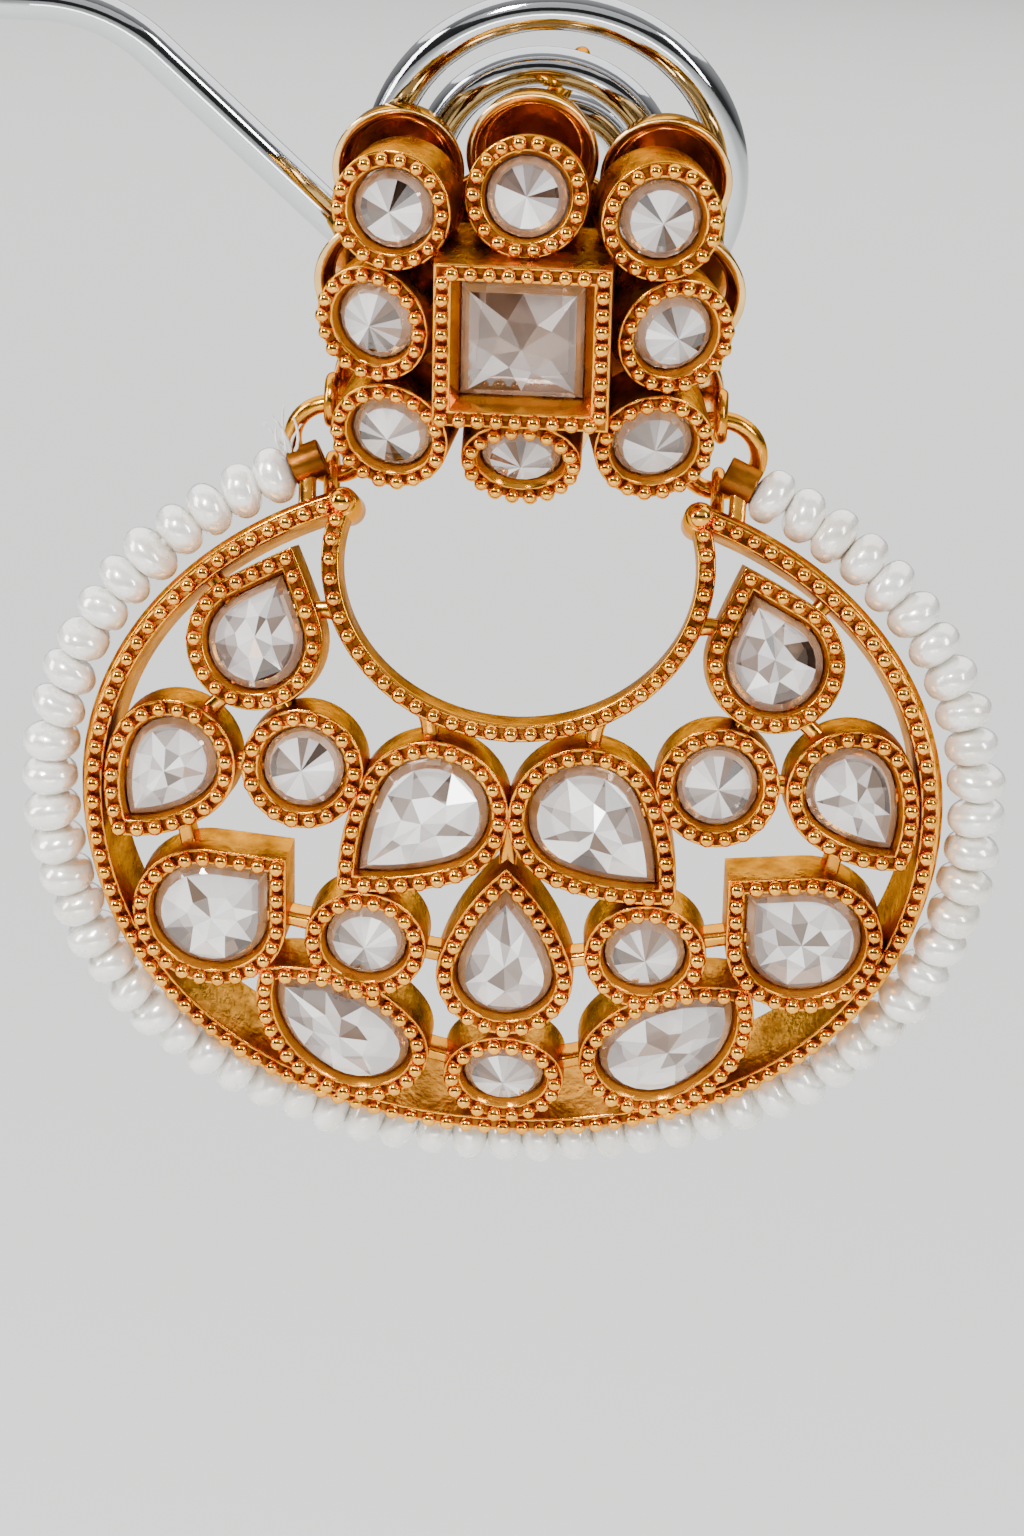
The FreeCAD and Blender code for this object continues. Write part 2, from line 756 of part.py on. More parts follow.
def stud_frame():
    """The stud as one soldered piece: blanks fused, then the openings cut."""
    solids = []
    cuts = []
    box = Placement(
        stud_point(-size("square_half"), 0, size("square_half")),
        Rotation(Vector(0, 0, 1), Vector(0, 1, 0)),
    )
    solids.append(add(
        "Part::Box", "square_collet", box,
        Length="sizes.square_half * 2", Width="sizes.square_half * 2", Height="sizes.square_deep",
    ))
    hole = Placement(
        stud_point(-size("square_bore"), -0.5, size("square_bore")),
        Rotation(Vector(0, 0, 1), Vector(0, 1, 0)),
    )
    cuts.append(add(
        "Part::Box", "square_hole", hole,
        Length="sizes.square_bore * 2", Width="sizes.square_bore * 2", Height="sizes.square_deep - 0.3",
    ))
    lead = add(
        "Part::Wedge", "square_lead_in", Placement(stud_point(0, 0, 0), Rotation()),
        Xmin="-sizes.square_mouth", Xmax="sizes.square_mouth",
        Zmin="-sizes.square_mouth", Zmax="sizes.square_mouth",
        Ymin="-0.01", Ymax="sizes.square_flare",
        X2min="-sizes.square_bore", X2max="sizes.square_bore",
        Z2min="-sizes.square_bore", Z2max="sizes.square_bore",
    )
    cuts.append(lead)
    solids.append(add(
        "Part::Cylinder", "core", backwards(0, size("square_deep") - 0.5, 0),
        Radius="sizes.core_rad", Height="sizes.stud_deep - sizes.square_deep + 0.5 - 0.1",
    ))
    solids.append(add(
        "Part::Cylinder", "tray_middle", backwards(0, size("stud_deep") - size("tray_floor"), 0),
        Radius="sizes.tray_rad * 1.9", Height="sizes.tray_floor",
    ))
    for name, across, up, lean_across, lean_up in PETALS:
        place = petal_seat(across, up, lean_across, lean_up)
        solids.append(add(
            "Part::Cylinder", "collet_" + name, place,
            Radius="sizes.petal_out", Height="sizes.petal_deep",
        ))
        cuts.append(add(
            "Part::Cylinder", "hole_" + name, place.multiply(Placement(Vector(0, 0, -0.5), Rotation())),
            Radius="sizes.petal_line - sizes.stone_inset + sizes.stone_gap",
            Height="sizes.petal_deep - 0.2",
        ))
        cuts.append(add(
            "Part::Cone", "flare_" + name, place,
            Radius1="sizes.petal_line - sizes.stone_inset + sizes.stone_gap + sizes.mouth_flare",
            Radius2="sizes.petal_line - sizes.stone_inset + sizes.stone_gap",
            Height="sizes.flare_deep",
        ))
        low_corner = up < 0 and across != 0
        tray_deep = "sizes.tray_floor" if low_corner else "sizes.tray_deep"
        tray_back = size("tray_floor") if low_corner else size("tray_deep")
        solids.append(add(
            "Part::Cone", "scallop_" + name, backwards(across, size("stud_deep") - tray_back, up),
            Radius1="sizes.tray_rad",
            Radius2="sizes.tray_rad" if low_corner else "sizes.tray_back",
            Height=tray_deep,
        ))
        if not low_corner:
            cuts.append(add(
                "Part::Cone", "cup_" + name,
                backwards(across, size("stud_deep") - size("tray_deep") - 0.01, up),
                Radius1="sizes.tray_rad - sizes.tray_wall",
                Radius2="sizes.tray_back - sizes.tray_wall",
                Height="sizes.tray_deep - sizes.tray_floor + 0.01",
            ))
    blank = doc.addObject("Part::MultiFuse", "stud_blank")
    blank.Shapes = solids
    opening = doc.addObject("Part::MultiFuse", "stud_openings")
    opening.Shapes = cuts
    cut = doc.addObject("Part::Cut", "stud_cut")
    cut.Base = blank
    cut.Tool = opening
    pillars = []
    for name, across, up, lean_across, lean_up in PETALS:
        inwards = size("petal_deep") - 0.3
        middle = petal_seat(across, up, lean_across, lean_up).multVec(Vector(0, 0, inwards))
        start = Placement(middle, Rotation(Vector(0, 0, 1), Vector(0, 1, 0)))
        back = middle.y - STUD_MIDDLE.y
        pillar = add("Part::Cylinder", "pillar_" + name, start, Radius="sizes.pillar_rad")
        pillar.Height = size("stud_deep") - 0.1 - back
        pillars.append(pillar)
    for side in (-1, 1):
        fall = size("ring_wire") + size("ring_play") - size("eye_rad") + size("eye_wire")
        centre = Vector(PIVOT.x * side, PIVOT.y, PIVOT.z - fall)
        loop = add(
            "Part::Torus", "loop_right" if side > 0 else "loop_left",
            Placement(centre, Rotation(Vector(0, 0, 1), Vector(1, 0, 0))),
            Radius1="sizes.eye_rad", Radius2="sizes.eye_wire",
        )
        stem = add(
            "Part::Cylinder", "stem_right" if side > 0 else "stem_left",
            Placement(centre + Vector(0, size("eye_rad") - 0.1, 0), Rotation(Vector(0, 0, 1), Vector(0, 1, 0))),
            Radius="sizes.eye_wire",
        )
        stem.Height = STUD_MIDDLE.y + size("stud_deep") - 0.2 - (centre.y + size("eye_rad") - 0.1)
        pillars += [loop, stem]
    whole = doc.addObject("Part::MultiFuse", "stud_frame")
    whole.Shapes = [cut] + pillars + ear_post()
    doc.recompute()
    return whole


def ear_post():
    """The post and its foot, soldered to the back of the top scallop."""
    foot = add(
        "Part::Cylinder", "post_foot",
        Placement(Vector(0, -0.1, 0), Rotation(Vector(0, 0, 1), Vector(0, 1, 0))),
        Radius="sizes.pad_rad", Height="sizes.pad_thick + 0.1",
    )
    lean = math.radians(size("post_lean"))
    way = Vector(math.sin(lean), math.cos(lean), 0)
    pin = add(
        "Part::Cylinder", "post_pin",
        Placement(Vector(0, 0, 0), Rotation(Vector(0, 0, 1), way)),
        Radius="sizes.post_rad", Height="sizes.post_long",
    )
    return [foot, pin]


# The display hook: a slanting arm, then a coil of three turns that step back and tighten


def half_turn(start, end, way):
    """Points of half a turn between two points, over the top or underneath."""
    points = []
    reach = abs(end.x - start.x) / 2
    for step in range(1, 9):
        turn = math.pi * step / 8
        share = (1 - math.cos(turn)) / 2
        point = start + (end - start) * share
        points.append(point + Vector(0, 0, way * reach * math.sin(turn)))
    return points


def hook_path():
    """The middle line of the hook's wire, from the end of its arm to the end of its coil."""
    plane = size("stud_deep") + size("hook_wire") + size("hook_gap")
    middle = stud_point(size("coil_across"), plane, size("coil_up"))
    outer = size("coil_outer")
    entry = size("coil_entry")
    centre = outer - entry
    arm_turn = math.radians(size("arm_turn"))
    inward = Vector(math.cos(arm_turn), 0, math.sin(arm_turn))
    touch = middle + Vector(centre, 0, 0) + inward * entry
    way = Vector(math.sin(arm_turn), 0, -math.cos(arm_turn))
    elbow = touch + way * size("arm_long")
    bend = size("arm_bend")
    bend_centre = elbow + inward * bend
    crest = bend_centre + Vector(0, 0, bend)
    between = (inward * -1 + Vector(0, 0, 1)).normalize()
    coil = [touch]
    for step in range(1, 7):
        turn = arm_turn * (1 - step / 6)
        coil.append(middle + Vector(centre + entry * math.cos(turn), 0, entry * math.sin(turn)))
    step_back = size("coil_step")
    ends = [
        (-outer, 0, 0, 1),
        (size("turn_two") - 0.6, step_back, -0.9, -1),
        (-size("turn_two") - 0.6, step_back, -0.9, 1),
        (size("turn_three") + 0.2, step_back * 2, size("rest_fall"), -1),
        (-size("turn_three") + 0.2, step_back * 2, size("rest_fall"), 1),
    ]
    for across, back, up, over in ends:
        coil += half_turn(coil[-1], middle + Vector(across, back, up), over)
    curve = Part.BSplineCurve()
    curve.interpolate(coil)
    edges = [
        Part.makeLine(crest - Vector(size("arm_end"), 0, 0), crest),
        Part.Arc(crest, bend_centre + between * bend, elbow).toShape(),
        Part.makeLine(elbow, touch),
        curve.toShape(),
    ]
    return Part.Wire(edges)


def display_hook():
    path = hook_path()
    start = path.OrderedVertexes[0].Point
    section = Part.Wire([Part.makeCircle(size("hook_wire"), start, Vector(1, 0, 0))])
    return path.makePipeShell([section], True, False)


# The document


def feature(name, shape):
    """A sub-part whose shape is set here, hung with the rest."""
    thing = doc.addObject("Part::Feature", name)
    thing.Label = name
    thing.Shape = shape
    thing.Placement = HANG.multiply(thing.Placement)
    return thing


def finished(thing, name):
    """A sub-part built from bound primitives, hung with the rest."""
    thing.Label = name
    thing.Placement = HANG.multiply(thing.Placement)
    return thing


def stone_features():
    made = []
    for pear in PEARS:
        right = placed(pear_stone(pear), pear_seat(pear))
        made.append(feature("stone_%s_right" % pear[0], right))
        made.append(feature("stone_%s_left" % pear[0], mirrored(right)))
    radius = size("round_line") - size("stone_inset")
    for name, across, level in ROUNDS:
        right = placed(round_stone(radius), drop_seat(across, level))
        made.append(feature("stone_%s_right" % name, right))
        made.append(feature("stone_%s_left" % name, mirrored(right)))
    made.append(feature("stone_middle", placed(pear_stone(MIDDLE_PEAR), pear_seat(MIDDLE_PEAR))))
    made.append(feature(
        "stone_bottom",
        placed(round_stone(radius), drop_seat(MIDDLE_ROUND[1], MIDDLE_ROUND[2])),
    ))
    stud_radius = size("petal_line") - size("stone_inset")
    for name, across, up, lean_across, lean_up in PETALS:
        place = petal_seat(across, up, lean_across, lean_up)
        made.append(feature("stud_stone_" + name, placed(round_stone(stud_radius), place)))
    front = seat(stud_point(0, 0, 0), Vector(0, -1, 0))
    made.append(feature("stud_stone_square", placed(square_stone(), front)))
    return made


def jump_ring(side):
    centre = Vector(PIVOT.x * side, PIVOT.y, PIVOT.z - size("ring_rad"))
    name = "jump_ring_right" if side > 0 else "jump_ring_left"
    ring = add(
        "Part::Torus", name,
        Placement(centre, Rotation(Vector(0, 0, 1), Vector(0, 1, 0))),
        Radius1="sizes.ring_rad", Radius2="sizes.ring_wire",
    )
    return finished(ring, name)


def build():
    parts = [
        finished(stud_frame(), "stud_frame"),
        feature("drop_frame", drop_frame()),
        jump_ring(1),
        jump_ring(-1),
        feature("pearl_string", pearl_string()),
        feature("pearl_thread", thread()),
        feature("display_hook", display_hook()),
    ]
    return parts + stone_features()


def check(parts):
    doc.recompute()
    for thing in doc.Objects:
        if {"Invalid", "Error"} & set(thing.State):
            raise RuntimeError("%s: %s" % (thing.Label, thing.State))
    for part in parts:
        if part.Shape.isNull() or not part.Shape.isValid():
            raise RuntimeError("%s has a bad shape" % part.Label)
        solids = len(part.Shape.Solids)
        print("%-28s %4d solids %9.2f mm3" % (part.Label, solids, part.Shape.Volume))


def main():
    parts = build()
    check(parts)
    os.makedirs("parts", exist_ok=True)
    for part in parts:
        part.Shape.exportStep("parts/%s.step" % part.Label)


main()
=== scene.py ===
# %% [markdown]
# # A chandbali earring in Blender
# The imported model gives the solids and where they are. This lesson dresses them: rounded gold
# collets and rims, rows of milled beads, button pearls, cut stones and a chrome hook.
# The first cell loads the frame's solids, with their placing baked into the meshes.

# %% Load the frame
import math
import random

import bmesh
import bpy
from mathutils import Matrix, Vector


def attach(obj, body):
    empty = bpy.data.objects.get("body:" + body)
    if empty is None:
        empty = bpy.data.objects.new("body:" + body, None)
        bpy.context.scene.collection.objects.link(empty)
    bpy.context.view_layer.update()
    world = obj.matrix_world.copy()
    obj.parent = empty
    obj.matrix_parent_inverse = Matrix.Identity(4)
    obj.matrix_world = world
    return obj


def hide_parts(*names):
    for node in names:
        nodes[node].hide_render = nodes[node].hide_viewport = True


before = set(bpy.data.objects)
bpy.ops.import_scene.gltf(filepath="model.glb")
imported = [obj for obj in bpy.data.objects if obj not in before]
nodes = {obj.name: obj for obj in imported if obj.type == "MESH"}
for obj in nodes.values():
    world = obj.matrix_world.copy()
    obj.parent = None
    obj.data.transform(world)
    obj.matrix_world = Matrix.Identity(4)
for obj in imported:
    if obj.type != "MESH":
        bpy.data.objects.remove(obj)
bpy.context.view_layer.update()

# %% [markdown]
# ## The maker's drawing
# The crescent of the real earring is cast flat and then bent, mostly from top to bottom. Its
# collets are laid out on the unrolled sheet, in millimetres across and up, and each is pointed
# the way the bent sheet faces. The same bending rule is written here as in the solids, so
# every bead lands on its own collet. The earring hangs leaned forward, so all points are
# turned by that lean at the very end.

# %% Sizes and the hanging lean
MM = 0.001
HANG = Matrix.Rotation(math.radians(17.9), 4, "X")
STUD_MIDDLE = Vector((0, -9.0, -8.2))
DROP_FRONT = STUD_MIDDLE + Vector((0, -3.8, -30.95))
BEND_UPDOWN = 36.8
BEND_ACROSS = 133.0
PIVOT = STUD_MIDDLE + Vector((9.8, 6.7, -6.55))


def hung(point):
    """A point of the upright drawing, in millimetres, as it hangs, in metres."""
    return (HANG @ Vector(point)) * MM


def bent(across, level):
    """How far the sheet leans and turns at a point of it, and its reach from the axis of turn."""
    lean = level / BEND_UPDOWN
    reach = BEND_ACROSS + BEND_UPDOWN * (math.cos(lean) - 1)
    return lean, math.asin(across / reach), reach


def drop_normal(across, level):
    lean, turn, reach = bent(across, level)
    return Vector((math.cos(lean) * math.sin(turn), -math.cos(lean) * math.cos(turn), math.sin(lean)))


def drop_point(across, level, depth=0.0):
    """A point of the bent sheet, at a depth behind its front."""
    lean, turn, reach = bent(across, level)
    front = Vector((
        reach * math.sin(turn),
        BEND_ACROSS - reach * math.cos(turn),
        BEND_UPDOWN * math.sin(lean),
    ))
    return DROP_FRONT + front - drop_normal(across, level) * depth


def seat(origin, facing, rightwards=Vector((1, 0, 0))):
    """A collet's own frame: x rightwards, y downwards, z inwards."""
    inward = (facing * -1).normalized()
    side = (rightwards - inward * rightwards.dot(inward)).normalized()
    down = inward.cross(side)
    turn = Matrix((side, down, inward)).transposed().to_4x4()
    return Matrix.Translation(origin) @ turn


print("foremost point of the crescent:", [round(v * 1000, 2) for v in hung(drop_point(0, 0))])

# %% [markdown]
# ## Outlines
# A round collet is a circle. A pear collet is a round end and two side arcs that meet in a
# sharp tip. Both are written as functions of how far they grow, because a wall is the same
# outline drawn again and again, a little larger or smaller and a little deeper. That keeps the
# walls even all round, which plain scaling would not.

# %% Outline functions
ROUND_LINE = 2.69
ROUNDS = [(10.51, 8.34), (7.18, -1.30)]
BOTTOM_ROUND = (0.0, -9.98)
PEARS = [
    # tip across, tip level, direction, length, round radius, corner
    (11.63, 18.95, 109.6, 4.50, 3.05, 88.0),
    (19.90, 4.29, -54.3, 4.57, 2.88, 112.0),
    (8.19, 2.46, -42.8, 5.87, 3.47, 95.0),
    (11.69, 2.96, 136.0, 5.00, 3.59, 92.0),
    (12.22, -3.64, 44.9, 6.46, 3.29, 121.0),
]
MIDDLE_PEAR = (0.0, 3.17, 90.0, 6.03, 3.08, 87.0)


def around(radius, steps):
    """Evenly spaced points round a circle."""
    turns = [2 * math.pi * step / steps for step in range(steps)]
    return [(radius * math.cos(turn), radius * math.sin(turn)) for turn in turns]


def turned(x, y, turn):
    """A point of a flat drawing, turned round its middle."""
    return x * math.cos(turn) - y * math.sin(turn), x * math.sin(turn) + y * math.cos(turn)


def circle(radius, steps=72):
    return lambda grow: around(radius + grow, steps)


def arc_points(centre, radius, start, end, steps):
    points = []
    for step in range(steps):
        turn = start + (end - start) * step / steps
        points.append((centre[0] + radius * math.cos(turn), centre[1] + radius * math.sin(turn)))
    return points


def pear(entry, steps=26):
    """A round end and two side arcs; the outline starts at the tip."""
    tip_across, tip_level, direction, length, radius, corner = entry
    half = math.radians(corner) / 2
    side = (length ** 2 - radius ** 2) / (2 * (length * math.sin(half) - radius))
    along = length - side * math.sin(half)
    beside = side * math.cos(half)
    touch = math.atan2(beside, -along)
    spin = -math.radians(direction)

    def outline(grow):
        tip = along + math.sqrt((side + grow) ** 2 - beside ** 2)
        tip_turn = math.atan2(beside, tip - along)
        upper = arc_points((along, -beside), side + grow, tip_turn, touch, steps)
        back = arc_points((0, 0), radius + grow, touch, 2 * math.pi - touch, steps + 10)
        lower = arc_points((along, beside), side + grow, -touch, -tip_turn, steps)
        return [turned(x, y, spin) for x, y in upper + back + lower]
    return outline


def square(half, steps=18):
    def outline(grow):
        reach = half + grow
        points = []
        for quarter in range(4):
            for step in range(steps):
                points.append(turned(reach, reach * (2 * step / steps - 1), quarter * math.pi / 2))
        return points
    return outline


def drop_seat(across, level):
    return seat(drop_point(across, level), drop_normal(across, level))


def pear_seat(entry):
    tip_across, tip_level, direction, length, radius, corner = entry
    turn = math.radians(direction)
    across = tip_across - length * math.cos(turn)
    level = tip_level - length * math.sin(turn)
    slip = (length - radius) / 2
    middle = drop_seat(across + slip * math.cos(turn), level + slip * math.sin(turn))
    return middle @ Matrix.Translation((-slip * math.cos(turn), slip * math.sin(turn), 0))


MIRROR = Matrix.Scale(-1, 4, (1, 0, 0))
drop_collets = []
for entry in PEARS:
    drop_collets += [(pear(entry), pear_seat(entry)), (pear(entry), MIRROR @ pear_seat(entry))]
for across, level in ROUNDS:
    place = drop_seat(across, level)
    drop_collets += [(circle(ROUND_LINE), place), (circle(ROUND_LINE), MIRROR @ place)]
drop_collets.append((pear(MIDDLE_PEAR), pear_seat(MIDDLE_PEAR)))
drop_collets.append((circle(ROUND_LINE), drop_seat(*BOTTOM_ROUND)))
print("collets on the crescent:", len(drop_collets))

# %% [markdown]
# ## Rounded walls
# A goldsmith's wall is never a knife edge: casting and polishing round every corner. Each wall
# is swept here from a profile, a closed line of steps outwards and inwards. Rings of points
# are drawn for every step and skinned with faces. Bevelling the solids would do it too, but
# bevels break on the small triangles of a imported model.

# %% A mesh maker for walls
def mend(mesh, weld=None, split=False, outwards=False):
    """Merges doubled points, splits many-sided faces and turns faces outwards, as asked."""
    work = bmesh.new()
    work.from_mesh(mesh)
    if weld:
        bmesh.ops.remove_doubles(work, verts=work.verts, dist=weld)
    if split:
        bmesh.ops.triangulate(work, faces=[face for face in work.faces if len(face.verts) > 4])
    if outwards:
        bmesh.ops.recalc_face_normals(work, faces=work.faces)
    work.to_mesh(mesh)
    work.free()


def smooth(mesh, sharp):
    """Shades a mesh smoothly, apart from edges sharper than an angle in degrees."""
    mesh.shade_smooth()
    mesh.set_sharp_from_angle(angle=math.radians(sharp))


def add_piece(name, mesh):
    piece = bpy.data.objects.new(name, mesh)
    bpy.context.scene.collection.objects.link(piece)
    return piece


class Skin:
    """Collects rings of points and the faces between them."""

    def __init__(self):
        self.points = []
        self.faces = []
        self.slots = []

    def ring(self, points):
        start = len(self.points)
        self.points += [hung(point) for point in points]
        return list(range(start, len(self.points)))

    def bridge(self, first, second, slot_of):
        for step in range(len(first)):
            after = (step + 1) % len(first)
            self.faces.append((first[step], first[after], second[after], second[step]))
            self.slots.append(slot_of(step))

    def cap(self, ring):
        self.faces.append(tuple(ring))
        self.slots.append(0)

    def tube(self, rings, closed_run=False, slot_of=None, run_slot=None):
        """Skins rings in a row, and closes the run or caps its ends."""
        made = [self.ring(ring) for ring in rings]
        pairs = list(zip(made, made[1:])) + ([(made[-1], made[0])] if closed_run else [])
        for index, (first, second) in enumerate(pairs):
            here = run_slot(index) if run_slot else 0
            self.bridge(first, second, slot_of or (lambda step: here))
        if not closed_run:
            self.cap(made[0])
            self.cap(made[-1])

    def build(self, name, sharp=38.0):
        mesh = bpy.data.meshes.new(name)
        mesh.from_pydata(self.points, [], self.faces)
        mesh.polygons.foreach_set("material_index", self.slots)
        mend(mesh, weld=1e-7, split=True, outwards=True)
        smooth(mesh, sharp)
        print(name, "faces:", len(mesh.polygons))
        return add_piece(name, mesh)


# slots of a gold skin, in the order in which its four finishes are added at the end
# the groove finish is gold darkened as painted shade, the tray finish gold made paler as a painted
# reflection, and the wall finish rough cast gold darkened as painted shade
EDGE_FINISH, GROOVE_SHADE_FINISH, TRAY_REFLECTION_FINISH, WALL_SHADE_FINISH = range(4)
GROOVE_HALF = 0.3
GROOVE_DEPTH = 0.5
WALL_DEPTH = 0.9


def finish_of(profile):
    """Tells for each step of a profile whether it is polished edge, bead groove darkened as painted
    shade, or deep wall darkened as painted shade.
    """
    def answer(index):
        here = profile[index]
        after = profile[(index + 1) % len(profile)]
        out = (here[0] + after[0]) / 2
        depth = (here[1] + after[1]) / 2
        if abs(out) < GROOVE_HALF and depth < GROOVE_DEPTH:
            return GROOVE_SHADE_FINISH
        return WALL_SHADE_FINISH if depth > WALL_DEPTH else EDGE_FINISH
    return answer


def sweep_wall(skin, outline, place, profile):
    """A wall round an outline: profile is a closed list of (grow, depth)."""
    rings = []
    for grow, depth in profile:
        rings.append([place @ Vector((x, y, depth)) for x, y in outline(grow)])
    skin.tube(rings, closed_run=True, run_slot=finish_of(profile))


def softened(corners, radius, steps=3):
    """A closed profile with each of its corners rounded."""
    points = []
    count = len(corners)
    for index in range(count):
        before = Vector(corners[index - 1])
        here = Vector(corners[index])
        after = Vector(corners[(index + 1) % count])
        reach = min(radius, (before - here).length * 0.45, (after - here).length * 0.45)
        start = here + (before - here).normalized() * reach
        end = here + (after - here).normalized() * reach
        for step in range(steps + 1):
            share = step / steps
            bend = start.lerp(here, share).lerp(here.lerp(end, share), share)
            points.append((bend.x, bend.y))
    return points


# %% [markdown]
# ## The crescent's collets
# Each stone sits in a collet that is open behind, with a ledge for the stone to rest on and a
# mouth that opens a little towards the front. The groove of the milled beads runs on top.

# %% Crescent collets
WALL_HALF = 0.45
STONE_EDGE = -0.56
DROP_DEEP = 2.4
LEDGE_EDGE = STONE_EDGE - 0.55
LEDGE_DEPTH = 1.5
FLARE_EDGE = STONE_EDGE + 0.16
# each profile is a closed row of (steps outwards, depth behind the front), in millimetres
collet_profile = softened([
    (0.0, 0.26),
    (0.32, 0.1),
    (WALL_HALF, 0.12),
    (WALL_HALF, DROP_DEEP),
    (LEDGE_EDGE, DROP_DEEP),
    (LEDGE_EDGE, LEDGE_DEPTH),
    (STONE_EDGE, LEDGE_DEPTH),
    (STONE_EDGE, 0.55),
    (FLARE_EDGE, 0.12),
    (-0.3, 0.1),
], 0.1)

crescent = Skin()
for outline, place in drop_collets:
    sweep_wall(crescent, outline, place, collet_profile)
print("collet walls swept:", len(drop_collets))

# %% [markdown]
# ## The two rims
# The outer rim is a deep band with a polished shoulder outside its beads, and the rim of the
# mouth is a narrower one. Both follow ellipses on the unrolled sheet, so one sweep serves
# both: the profile is carried along the line and bent with the sheet.

# %% Rims
RIM_ACROSS = 21.25
RIM_LOW = 20.2
RIM_HIGH = 17.4
RIM_LEVEL = 6.3
MOUTH_ACROSS = 9.47
MOUTH_LOW = 8.4
MOUTH_LEVEL = 19.3
HORN = (9.0, 22.1)
RIM_DEEP = 3.8


def rim_line(turn):
    tall = RIM_HIGH if math.sin(turn) > 0 else RIM_LOW
    out = Vector((math.cos(turn) / RIM_ACROSS, math.sin(turn) / tall)).normalized()
    return RIM_ACROSS * math.cos(turn), RIM_LEVEL + tall * math.sin(turn), out


def mouth_line(turn):
    out = Vector((-math.cos(turn) / MOUTH_ACROSS, -math.sin(turn) / MOUTH_LOW)).normalized()
    return MOUTH_ACROSS * math.cos(turn), MOUTH_LEVEL + MOUTH_LOW * math.sin(turn), out


def walk(line, start, end, steps):
    """What a line gives at even steps from a start to an end."""
    return [line(start + (end - start) * step / steps) for step in range(steps + 1)]


def sweep_rim(skin, line, start, end, profile, steps):
    rings = []
    for across, level, out in walk(line, start, end, steps):
        rings.append([
            drop_point(across + out.x * outwards, level + out.y * outwards, depth)
            for outwards, depth in profile
        ])
    skin.tube(rings, slot_of=finish_of(profile))


rim_start = math.acos(HORN[0] / RIM_ACROSS)
mouth_start = math.asin((HORN[1] - MOUTH_LEVEL) / MOUTH_LOW)
rim_profile = softened([
    (0.0, 0.26),
    (0.34, 0.06),
    (0.5, 0.04),
    (0.8, 0.7),
    (0.8, RIM_DEEP),
    (-0.42, RIM_DEEP),
    (-0.42, 0.16),
    (-0.32, 0.08),
], 0.14)
mouth_profile = softened([
    (0.0, 0.26),
    (0.32, 0.1),
    (WALL_HALF, 0.16),
    (WALL_HALF, DROP_DEEP),
    (-WALL_HALF, DROP_DEEP),
    (-WALL_HALF, 0.16),
    (-0.32, 0.1),
], 0.1)
sweep_rim(crescent, rim_line, rim_start, -math.pi - rim_start, rim_profile, 220)
sweep_rim(crescent, mouth_line, mouth_start, -math.pi - mouth_start, mouth_profile, 120)

# %% [markdown]
# ## Bars, eyes and eyelets
# Short bars tie the collets to each other and to the rims. On the real casting they are the
# leftovers of the wax model's wires, so they are soft-edged and a little deeper than wide.
# An upright eye on each horn takes a jump ring, and a short tube beside it takes the thread.

# %% Bars between the collets
BARS = [
    # across and level of one end, then of the other
    (14.3, 16.4, 16.0, 18.1),
    (11.5, 16.4, 9.2, 16.6),
    (13.9, 12.5, 16.3, 10.0),
    (12.4, 12.4, 11.2, 10.4),
    (12.6, 8.2, 15.0, 8.1),
    (8.6, 7.5, 6.6, 6.8),
    (17.0, 5.6, 16.3, 2.4),
    (19.4, 7.6, 21.2, 7.4),
    (4.0, 9.4, 4.3, 11.6),
    (12.7, -0.4, 9.4, -0.9),
    (4.9, -1.9, 2.7, -2.3),
    (7.5, 1.0, 7.8, 2.9),
    (8.0, -3.6, 8.5, -5.4),
    (13.6, -2.7, 12.4, -4.4),
    (17.9, -3.1, 19.0, -3.9),
    (7.0, -11.2, 7.2, -12.5),
    (4.8, -8.9, 2.3, -9.7),
]
MIDDLE_BARS = [(0.0, 2.6, 0.0, 6.6), (0.0, -5.6, 0.0, -7.6), (0.0, -12.3, 0.0, -14.0)]
BAR_DEPTH = 1.35
BAR_WIDE = 0.9
BAR_DEEP = 1.3
BAR_FLARE = ((0.0, 1.25), (0.2, 1.03), (0.5, 0.96), (0.8, 1.03), (1.0, 1.25))


def rounded_box(wide, deep, steps=16):
    """A section with soft corners, as points round its middle."""
    points = []
    for step in range(steps):
        turn = 2 * math.pi * step / steps
        x = math.copysign(abs(math.cos(turn)) ** 0.6, math.cos(turn)) * wide / 2
        y = math.copysign(abs(math.sin(turn)) ** 0.6, math.sin(turn)) * deep / 2
        points.append((x, y))
    return points


def bar(skin, first, second, facing, wide, deep):
    """A bar between two points; its section stands across it, deep along facing."""
    along = (second - first).normalized()
    down = (facing - along * facing.dot(along)).normalized()
    side = along.cross(down)
    rings = []
    for share, spread in BAR_FLARE:
        middle = first.lerp(second, share)
        rings.append([
            middle + side * (x * spread) + down * y for x, y in rounded_box(wide, deep)
        ])
    skin.tube(rings)


for row in BARS + [(-a, b, -c, d) for a, b, c, d in BARS] + MIDDLE_BARS:
    first = drop_point(row[0], row[1], BAR_DEPTH)
    second = drop_point(row[2], row[3], BAR_DEPTH)
    facing = drop_normal((row[0] + row[2]) / 2, (row[1] + row[3]) / 2)
    bar(crescent, first, second, facing, BAR_WIDE, BAR_DEEP)
print("bars:", 2 * len(BARS) + len(MIDDLE_BARS))


# %% Eyes, horn tips and eyelets
def torus(skin, centre, radius, wire, axis, rings=40, section=16):
    """A ring of wire round an axis."""
    across = axis.orthogonal().normalized()
    up = axis.cross(across)
    made = []
    for step in range(rings):
        turn = 2 * math.pi * step / rings
        out = across * math.cos(turn) + up * math.sin(turn)
        made.append([centre + out * (radius + x) + axis * y for x, y in around(wire, section)])
    skin.tube(made, closed_run=True)


